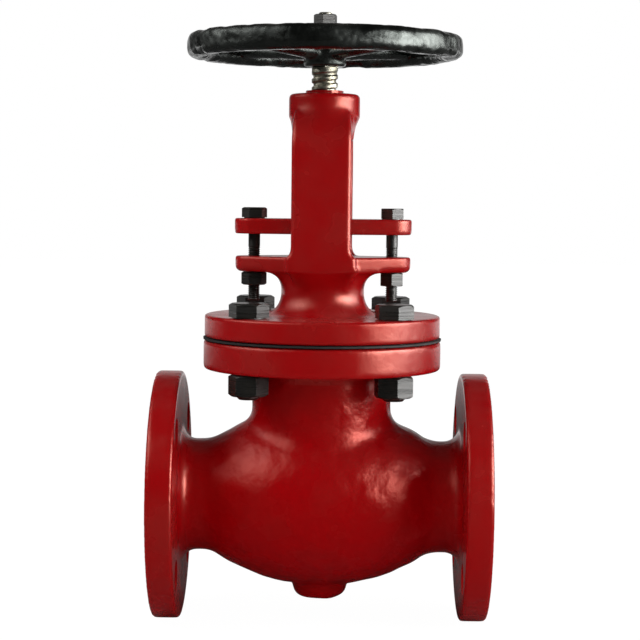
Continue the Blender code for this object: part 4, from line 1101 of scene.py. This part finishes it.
def edge_group():
    """Mask of the narrow outer edges where a finish is thin or rubbed through."""
    inputs = (("Width", 0.0008), ("Break Scale", 220.0), ("Least", 0.5), ("Most", 0.7))
    group, source, target = new_group("rubbed edges", inputs, ("Mask",))
    geometry = put(group, "ShaderNodeNewGeometry")
    bevel = put(group, "ShaderNodeBevel", samples=4)
    feed(group, source.outputs["Width"], bevel.inputs["Radius"])
    dot = put(group, "ShaderNodeVectorMath", operation="DOT_PRODUCT")
    feed(group, bevel.outputs["Normal"], dot.inputs[0])
    feed(group, geometry.outputs["Normal"], dot.inputs[1])
    turn = span(group, dot.outputs["Value"], low=0.99, high=0.80)
    breaks = span(group, grain_noise(group, source.outputs["Break Scale"], detail=3.0),
                  source.outputs["Least"], source.outputs["Most"])
    outer = span(group, geometry.outputs["Pointiness"], low=0.48, high=0.52)
    mask = product(group, product(group, turn, breaks), outer)
    feed(group, mask, target.inputs["Mask"])
    return group


def dust_group():
    """Mask of the thin dust that settles on faces that look up."""
    inputs = (("Amount", 0.3), ("Patch Scale", 60.0))
    group, source, target = new_group("settled dust", inputs, ("Mask",))
    geometry = put(group, "ShaderNodeNewGeometry")
    level = span(group, parts_of(group, geometry.outputs["Normal"])["Z"], low=0.5, high=1.0)
    patches = grain_noise(group, source.outputs["Patch Scale"], detail=4.0)
    patches = span(group, patches, low=0.3, high=0.75)
    mask = product(group, product(group, level, patches), source.outputs["Amount"])
    feed(group, mask, target.inputs["Mask"])
    return group


def tool_group(name, rings_across, ring_height, round_pipe):
    """Fine rings that a tool leaves along Z or, on a face, round the pipe: a height and a streak."""
    inputs = (("Rings", rings_across), ("Ring Height", ring_height))
    group, source, target = new_group(name, inputs, ("Height", "Streak"))
    place = put(group, "ShaderNodeTexCoord").outputs["Object"]
    if round_pipe:
        parts = parts_of(group, place)
        squares = [calculate(group, "POWER", parts[label], 2.0) for label in ("Y", "Z")]
        radius = calculate(group, "SQRT", calculate(group, "ADD", *squares))
        rings = put(group, "ShaderNodeTexNoise", noise_dimensions="1D")
        feed(group, radius, rings.inputs["W"])
    else:
        stretch = put(group, "ShaderNodeMapping")
        stretch.inputs["Scale"].default_value = TURNING_STRETCH
        feed(group, place, stretch.inputs["Vector"])
        rings = put(group, "ShaderNodeTexNoise")
        feed(group, stretch.outputs["Vector"], rings.inputs["Vector"])
    feed(group, 2.0, rings.inputs["Detail"])
    feed(group, source.outputs["Rings"], rings.inputs["Scale"])
    height = product(group, rings.outputs["Fac"], source.outputs["Ring Height"])
    feed(group, height, target.inputs["Height"])
    feed(group, rings.outputs["Fac"], target.inputs["Streak"])
    return group


CASTING = casting_group()
EDGES = edge_group()
DUST = dust_group()
TURNING = tool_group("turning marks", 1600.0, 0.000008, round_pipe=False)
FACING = tool_group("facing marks", 1200.0, 0.00001, round_pipe=True)


def place_group(tree, group, **values):
    """Group node in a material; values name its inputs with underscores for spaces."""
    node = put(tree, "ShaderNodeGroup", node_tree=group)
    for name, value in values.items():
        node.inputs[name.replace("_", " ").title()].default_value = value
    return node


def mix_colours(tree, factor, first, second):
    """Mix of two colours, each a colour or a socket, by a factor socket."""
    node = put(tree, "ShaderNodeMix", data_type="RGBA")
    feed(tree, factor, node.inputs[0])
    feed(tree, first, node.inputs[6])
    feed(tree, second, node.inputs[7])
    return node.outputs[2]


def new_finish(name):
    material = bpy.data.materials.new(name)
    material.use_nodes = True
    tree = material.node_tree
    return material, tree, tree.nodes["Principled BSDF"]


def add_bump(tree, shader, height):
    bump = put(tree, "ShaderNodeBump")
    bump.inputs["Strength"].default_value = 1.0
    bump.inputs["Distance"].default_value = 1.0
    feed(tree, height, bump.inputs["Height"])
    feed(tree, bump.outputs["Normal"], shader.inputs["Normal"])


def enamel_finish(name, colour, deep, bare, shine, gleam, tint, casting, wear):
    """Gloss enamel over a casting: colour patches, thin edges, dust, and an uneven skin."""
    material, tree, shader = new_finish(name)
    skin = place_group(tree, CASTING, **casting)
    edges = place_group(tree, EDGES, **wear)
    dust = place_group(tree, DUST, amount=0.05)
    paint = mix_colours(tree, skin.outputs["Patches"], colour, deep)
    worn = mix_colours(tree, edges.outputs["Mask"], paint, bare)
    dusty = mix_colours(tree, dust.outputs["Mask"], worn, DUST_COLOUR)
    feed(tree, dusty, shader.inputs["Base Color"])
    gloss = span(tree, skin.outputs["Patches"], 0.0, 1.0, *shine)
    dulled = calculate(tree, "ADD", gloss, product(tree, edges.outputs["Mask"], WORN_DULLNESS))
    feed(tree, dulled, shader.inputs["Roughness"])
    feed(tree, gleam, shader.inputs["Specular IOR Level"])
    feed(tree, tint, shader.inputs["Specular Tint"])
    add_bump(tree, shader, skin.outputs["Height"])
    return material


def steel_finish(name, colour, stain, metallic, shine, marks, bare=(0.35, 0.33, 0.30), tooling=TURNING):
    """Bolt, stem and faced iron: tool marks, stains and brighter rubbed edges."""
    material, tree, shader = new_finish(name)
    turning = place_group(tree, tooling, **marks)
    skin = place_group(tree, CASTING, grain_scale=900.0, grain_height=0.000012, wave_scale=260.0,
                       wave_height=0.00003, patch_scale=140.0)
    edges = place_group(tree, EDGES, width=0.0005, break_scale=500.0, least=0.4, most=0.8)
    stained = mix_colours(tree, skin.outputs["Patches"], colour, stain)
    worn = mix_colours(tree, edges.outputs["Mask"], stained, bare)
    feed(tree, worn, shader.inputs["Base Color"])
    feed(tree, metallic, shader.inputs["Metallic"])
    feed(tree, STEEL_GLEAM, shader.inputs["Specular IOR Level"])
    streaks = span(tree, turning.outputs["Streak"], 0.3, 0.7, *shine)
    feed(tree, streaks, shader.inputs["Roughness"])
    heights = calculate(tree, "ADD", turning.outputs["Height"], skin.outputs["Height"])
    add_bump(tree, shader, heights)
    return material


def soft_finish(name, colour, light, roughness, grain_scale, grain_height):
    """Packing and gasket sheet: matt, speckled and slightly fibrous."""
    material, tree, shader = new_finish(name)
    skin = place_group(tree, CASTING, grain_scale=grain_scale, grain_height=grain_height,
                       wave_scale=300.0, wave_height=0.00005, patch_scale=200.0)
    speckle = mix_colours(tree, skin.outputs["Grain"], colour, light)
    feed(tree, speckle, shader.inputs["Base Color"])
    feed(tree, SOFT_GLEAM, shader.inputs["Specular IOR Level"])
    patches = span(tree, skin.outputs["Patches"], 0.0, 1.0, roughness - 0.1, roughness)
    feed(tree, patches, shader.inputs["Roughness"])
    add_bump(tree, shader, skin.outputs["Height"])
    return material


RED = dict(
    colour=(0.262, 0.0, 0.0016), deep=(0.225, 0.0, 0.0012), bare=(0.10, 0.02, 0.015),
    wear=dict(width=0.0008, break_scale=220.0, least=0.62, most=0.80))
RED_ENAMEL = enamel_finish(
    "red_enamel_over_casting", shine=(0.18, 0.30), gleam=0.76, tint=(1.0, 0.34, 0.26),
    casting=dict(grain_scale=430.0, grain_height=0.00007, wave_scale=110.0, wave_height=0.00018,
                 patch_scale=30.0),
    **RED)
ROUGH_RED_ENAMEL = enamel_finish(
    "red_enamel_over_rough_casting", shine=(0.22, 0.36), gleam=0.28, tint=(1.0, 0.24, 0.18),
    casting=dict(grain_scale=520.0, grain_height=0.00014, wave_scale=160.0, wave_height=0.00045,
                 patch_scale=30.0),
    **RED)
BLACK_ENAMEL = enamel_finish(
    "black_enamel_over_rough_casting", colour=(0.0015, 0.0017, 0.0014), deep=(0.003, 0.0033, 0.0027),
    bare=(0.06, 0.055, 0.05), shine=(0.12, 0.34), gleam=0.72, tint=(0.92, 1.0, 0.93),
    casting=dict(grain_scale=420.0, grain_height=0.00012, wave_scale=150.0, wave_height=0.0008,
                 patch_scale=60.0),
    wear=dict(width=0.0010, break_scale=180.0, least=0.58, most=0.75))
BLACK_OXIDE = steel_finish(
    "black_oxide_steel", colour=(0.006, 0.0055, 0.0045), stain=(0.013, 0.011, 0.008), metallic=0.3,
    shine=(0.26, 0.38), marks=dict(rings=1600.0, ring_height=0.000006), bare=(0.10, 0.095, 0.08))
STEM_STEEL = steel_finish(
    "oiled_stem_steel", colour=(0.36, 0.35, 0.29), stain=(0.16, 0.145, 0.105), metallic=1.0,
    shine=(0.24, 0.40), marks=dict(rings=2400.0, ring_height=0.000010))
TURNED_BRONZE = steel_finish(
    "turned_bronze", colour=(0.45, 0.26, 0.11), stain=(0.30, 0.16, 0.07), metallic=1.0,
    shine=(0.25, 0.42), marks=dict(rings=2000.0, ring_height=0.000010), bare=(0.60, 0.38, 0.18))
MACHINED_IRON = steel_finish(
    "machined_iron_bush", colour=(0.24, 0.23, 0.21), stain=(0.15, 0.14, 0.12), metallic=0.9,
    shine=(0.36, 0.52), marks=dict(rings=1800.0, ring_height=0.000012))
FACED_IRON = steel_finish(
    "faced_iron_flange", colour=(0.15, 0.145, 0.135), stain=(0.11, 0.10, 0.088), metallic=0.8,
    shine=(0.50, 0.66), marks=dict(rings=1200.0, ring_height=0.000012), tooling=FACING)
GRAPHITE = soft_finish(
    "graphite_packing_braid", colour=(0.018, 0.018, 0.020), light=(0.05, 0.05, 0.052),
    roughness=0.75, grain_scale=500.0, grain_height=0.0002)
FIBRE_SHEET = soft_finish(
    "compressed_fibre_sheet", colour=(0.004, 0.003, 0.003), light=(0.014, 0.011, 0.010),
    roughness=0.85, grain_scale=900.0, grain_height=0.0001)


def finish_body(piece):
    """Rough enamel on the body's cast skin, smooth on its flanges, bare iron on the two end faces."""
    for material in (RED_ENAMEL, ROUGH_RED_ENAMEL, FACED_IRON):
        piece.data.materials.append(material)
    face = FACE_TO_FACE / 2 - HAIR
    for polygon in piece.data.polygons:
        if abs(polygon.center.x) > face:
            polygon.material_index = 2
        elif body_roughness(polygon.center) > 0.5:
            polygon.material_index = 1


def dress(piece, material, body, slot, *replaced):
    """Give a new piece its finish and its body, in place of the nodes it stands for."""
    if material:
        piece.data.materials.clear()
        piece.data.materials.append(material)
    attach(piece, body)
    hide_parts(*replaced)


def refinish(name, material):
    """Give a node of the frame, whose shape stays, a better finish."""
    for holder in nodes[name].material_slots:
        holder.material = material


body_shell = make_body()
finish_body(body_shell)
dress(body_shell, None, "valve_body", "red_enamel", "body_casting")
bonnet_shell = make_bonnet()
dress(bonnet_shell, RED_ENAMEL, "valve_body", "red_enamel", "bonnet")
for label, bolt, nut in make_fasteners(
        "flange", (1, 2, 3, 4), corner_places(BONNET_HOLE_CIRCLE_RADIUS), BONNET_BOLT_TURNS,
        BONNET_BOLT, BONNET_BOLT_HEIGHTS, BONNET_NUT_HEIGHTS, BONNET_THREAD_TOP):
    dress(bolt, BLACK_OXIDE, "valve_body", "black_steel", f"bonnet_bolt_{label}")
    dress(nut, BLACK_OXIDE, "valve_body", "black_steel", f"bonnet_nut_{label}")
dress(make_gland_flange(), RED_ENAMEL, "gland", "red_enamel", "gland_flange")
for label, bolt, nut in make_fasteners(
        "follower", ("left", "right"), GLAND_PLACES, GLAND_BOLT_TURNS,
        GLAND_BOLT, GLAND_BOLT_HEIGHTS, GLAND_NUT_HEIGHTS, GLAND_THREAD_TOP):
    dress(bolt, BLACK_OXIDE, "gland", "black_steel", f"gland_bolt_{label}")
    dress(nut, BLACK_OXIDE, "valve_body", "black_steel", f"gland_nut_{label}")
dress(make_stem(), STEM_STEEL, "stem_assembly", "machined_steel", "stem")
dress(make_handwheel(), BLACK_ENAMEL, "stem_assembly", "black_enamel", "handwheel")
dress(make_washer(), STEM_STEEL, "stem_assembly", "machined_steel", "wheel_washer")
dress(make_wheel_nut(), BLACK_OXIDE, "stem_assembly", "black_steel", "wheel_nut")
for name in ("seat_ring", "back_seat_bush", "disc", "disc_nut"):
    refinish(name, TURNED_BRONZE)
for number in range(PACKING_RING_COUNT):
    packing = make_packing_ring(number)
    dress(packing, GRAPHITE, "valve_body", "graphite_packing", f"packing_ring_{number + 1}")
    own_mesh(packing)
refinish("gland_bush", MACHINED_IRON)
refinish("yoke_bush", RED_ENAMEL)
refinish("bonnet_gasket", FIBRE_SHEET)


# Floor, backdrop, lights and camera
def rays_of(tree):
    """Kinds of ray, and a value that is 1 for those that come straight from the camera."""
    rays = put(tree, "ShaderNodeLightPath").outputs
    return rays, calculate(tree, "MAXIMUM", rays["Is Camera Ray"], rays["Is Transmission Ray"])


def make_floor():
    """Pale floor that looks white to the camera; in reflections only its far part does."""
    bm = bmesh.new()
    bmesh.ops.create_grid(bm, x_segments=8, y_segments=8, size=FLOOR_HALF_WIDTH)
    floor = new_piece("studio_floor", bm)
    floor.location.z = FLOOR_HEIGHT
    material, tree, shader = new_finish("pale_studio_floor")
    rays, direct = rays_of(tree)
    tone = span(tree, rays["Is Glossy Ray"], 0.0, 1.0, FLOOR_COLOUR, FLOOR_COLOUR_IN_GLOSS)
    feed(tree, tone, shader.inputs["Base Color"])
    feed(tree, 0.9, shader.inputs["Roughness"])
    feed(tree, 0.0, shader.inputs["Specular IOR Level"])
    glow = put(tree, "ShaderNodeEmission")
    feed(tree, FLOOR_GLOW, glow.inputs["Strength"])
    mix = put(tree, "ShaderNodeMixShader")
    place = put(tree, "ShaderNodeTexCoord")
    far = span(tree, parts_of(tree, place.outputs["Object"])["Y"], *FLOOR_FAR)
    glossy = product(tree, rays["Is Glossy Ray"], far)
    share = product(tree, calculate(tree, "MAXIMUM", direct, glossy), FLOOR_GLOW_SHARE)
    feed(tree, share, mix.inputs[0])
    feed(tree, shader.outputs[0], mix.inputs[1])
    feed(tree, glow.outputs[0], mix.inputs[2])
    feed(tree, mix.outputs[0], tree.nodes["Material Output"].inputs["Surface"])
    floor.data.materials.append(material)


def make_backdrop():
    """White all round for the camera, white behind the valve and dark in front for reflections."""
    world = bpy.data.worlds.new("studio")
    bpy.context.scene.world = world
    world.use_nodes = True
    tree = world.node_tree
    background = tree.nodes["Background"]
    feed(tree, (1.0, 1.0, 1.0), background.inputs["Color"])
    place = put(tree, "ShaderNodeTexCoord")
    rays, direct = rays_of(tree)
    behind = parts_of(tree, place.outputs["Generated"])["Y"]
    behind = span(tree, behind, *BACKDROP_EDGE, DARK_SIDE, BACKDROP_IN_GLOSS)
    glossy = product(tree, rays["Is Glossy Ray"], behind)
    seen = calculate(tree, "MAXIMUM", direct, rays["Is Glossy Ray"])
    shown = calculate(tree, "MAXIMUM", product(tree, direct, BACKDROP_WHITE), glossy)
    rest = product(tree, calculate(tree, "SUBTRACT", 1.0, seen), ROOM_LIGHT)
    feed(tree, calculate(tree, "ADD", shown, rest), background.inputs["Strength"])


def make_softboxes():
    """Each softbox is a soft lamp for the shading and a brighter one that only shines in highlights."""
    for name, place, aim, size, soft_power, gloss_power in SOFTBOXES:
        for use, power in (("shading", soft_power), ("highlight", gloss_power)):
            lamp = bpy.data.lights.new(f"{name}_{use}", "AREA")
            lamp.shape = "RECTANGLE"
            lamp.size, lamp.size_y = size
            lamp.energy = power
            item = link(lamp.name, lamp)
            item.location = place
            item.rotation_euler = (Vector(aim) - Vector(place)).to_track_quat("-Z", "Y").to_euler()
            item.visible_glossy = use == "highlight"
            item.visible_diffuse = use == "shading"


def make_camera():
    lens = bpy.data.cameras.new("photo_camera")
    lens.lens = CAMERA_LENS
    lens.sensor_width = SENSOR_WIDTH
    lens.sensor_fit = "HORIZONTAL"
    camera = link("photo_camera", lens)
    camera.location = CAMERA_PLACE
    turn = Matrix.Rotation(math.radians(CAMERA_TURN), 4, "Z")
    pitch = Matrix.Rotation(math.radians(90 + CAMERA_PITCH), 4, "X")
    roll = Matrix.Rotation(math.radians(CAMERA_ROLL), 4, "Z")
    camera.rotation_euler = (turn @ pitch @ roll).to_euler()
    bpy.context.scene.camera = camera


make_floor()
make_backdrop()
make_softboxes()
make_camera()
bpy.context.scene.view_settings.view_transform = "Standard"
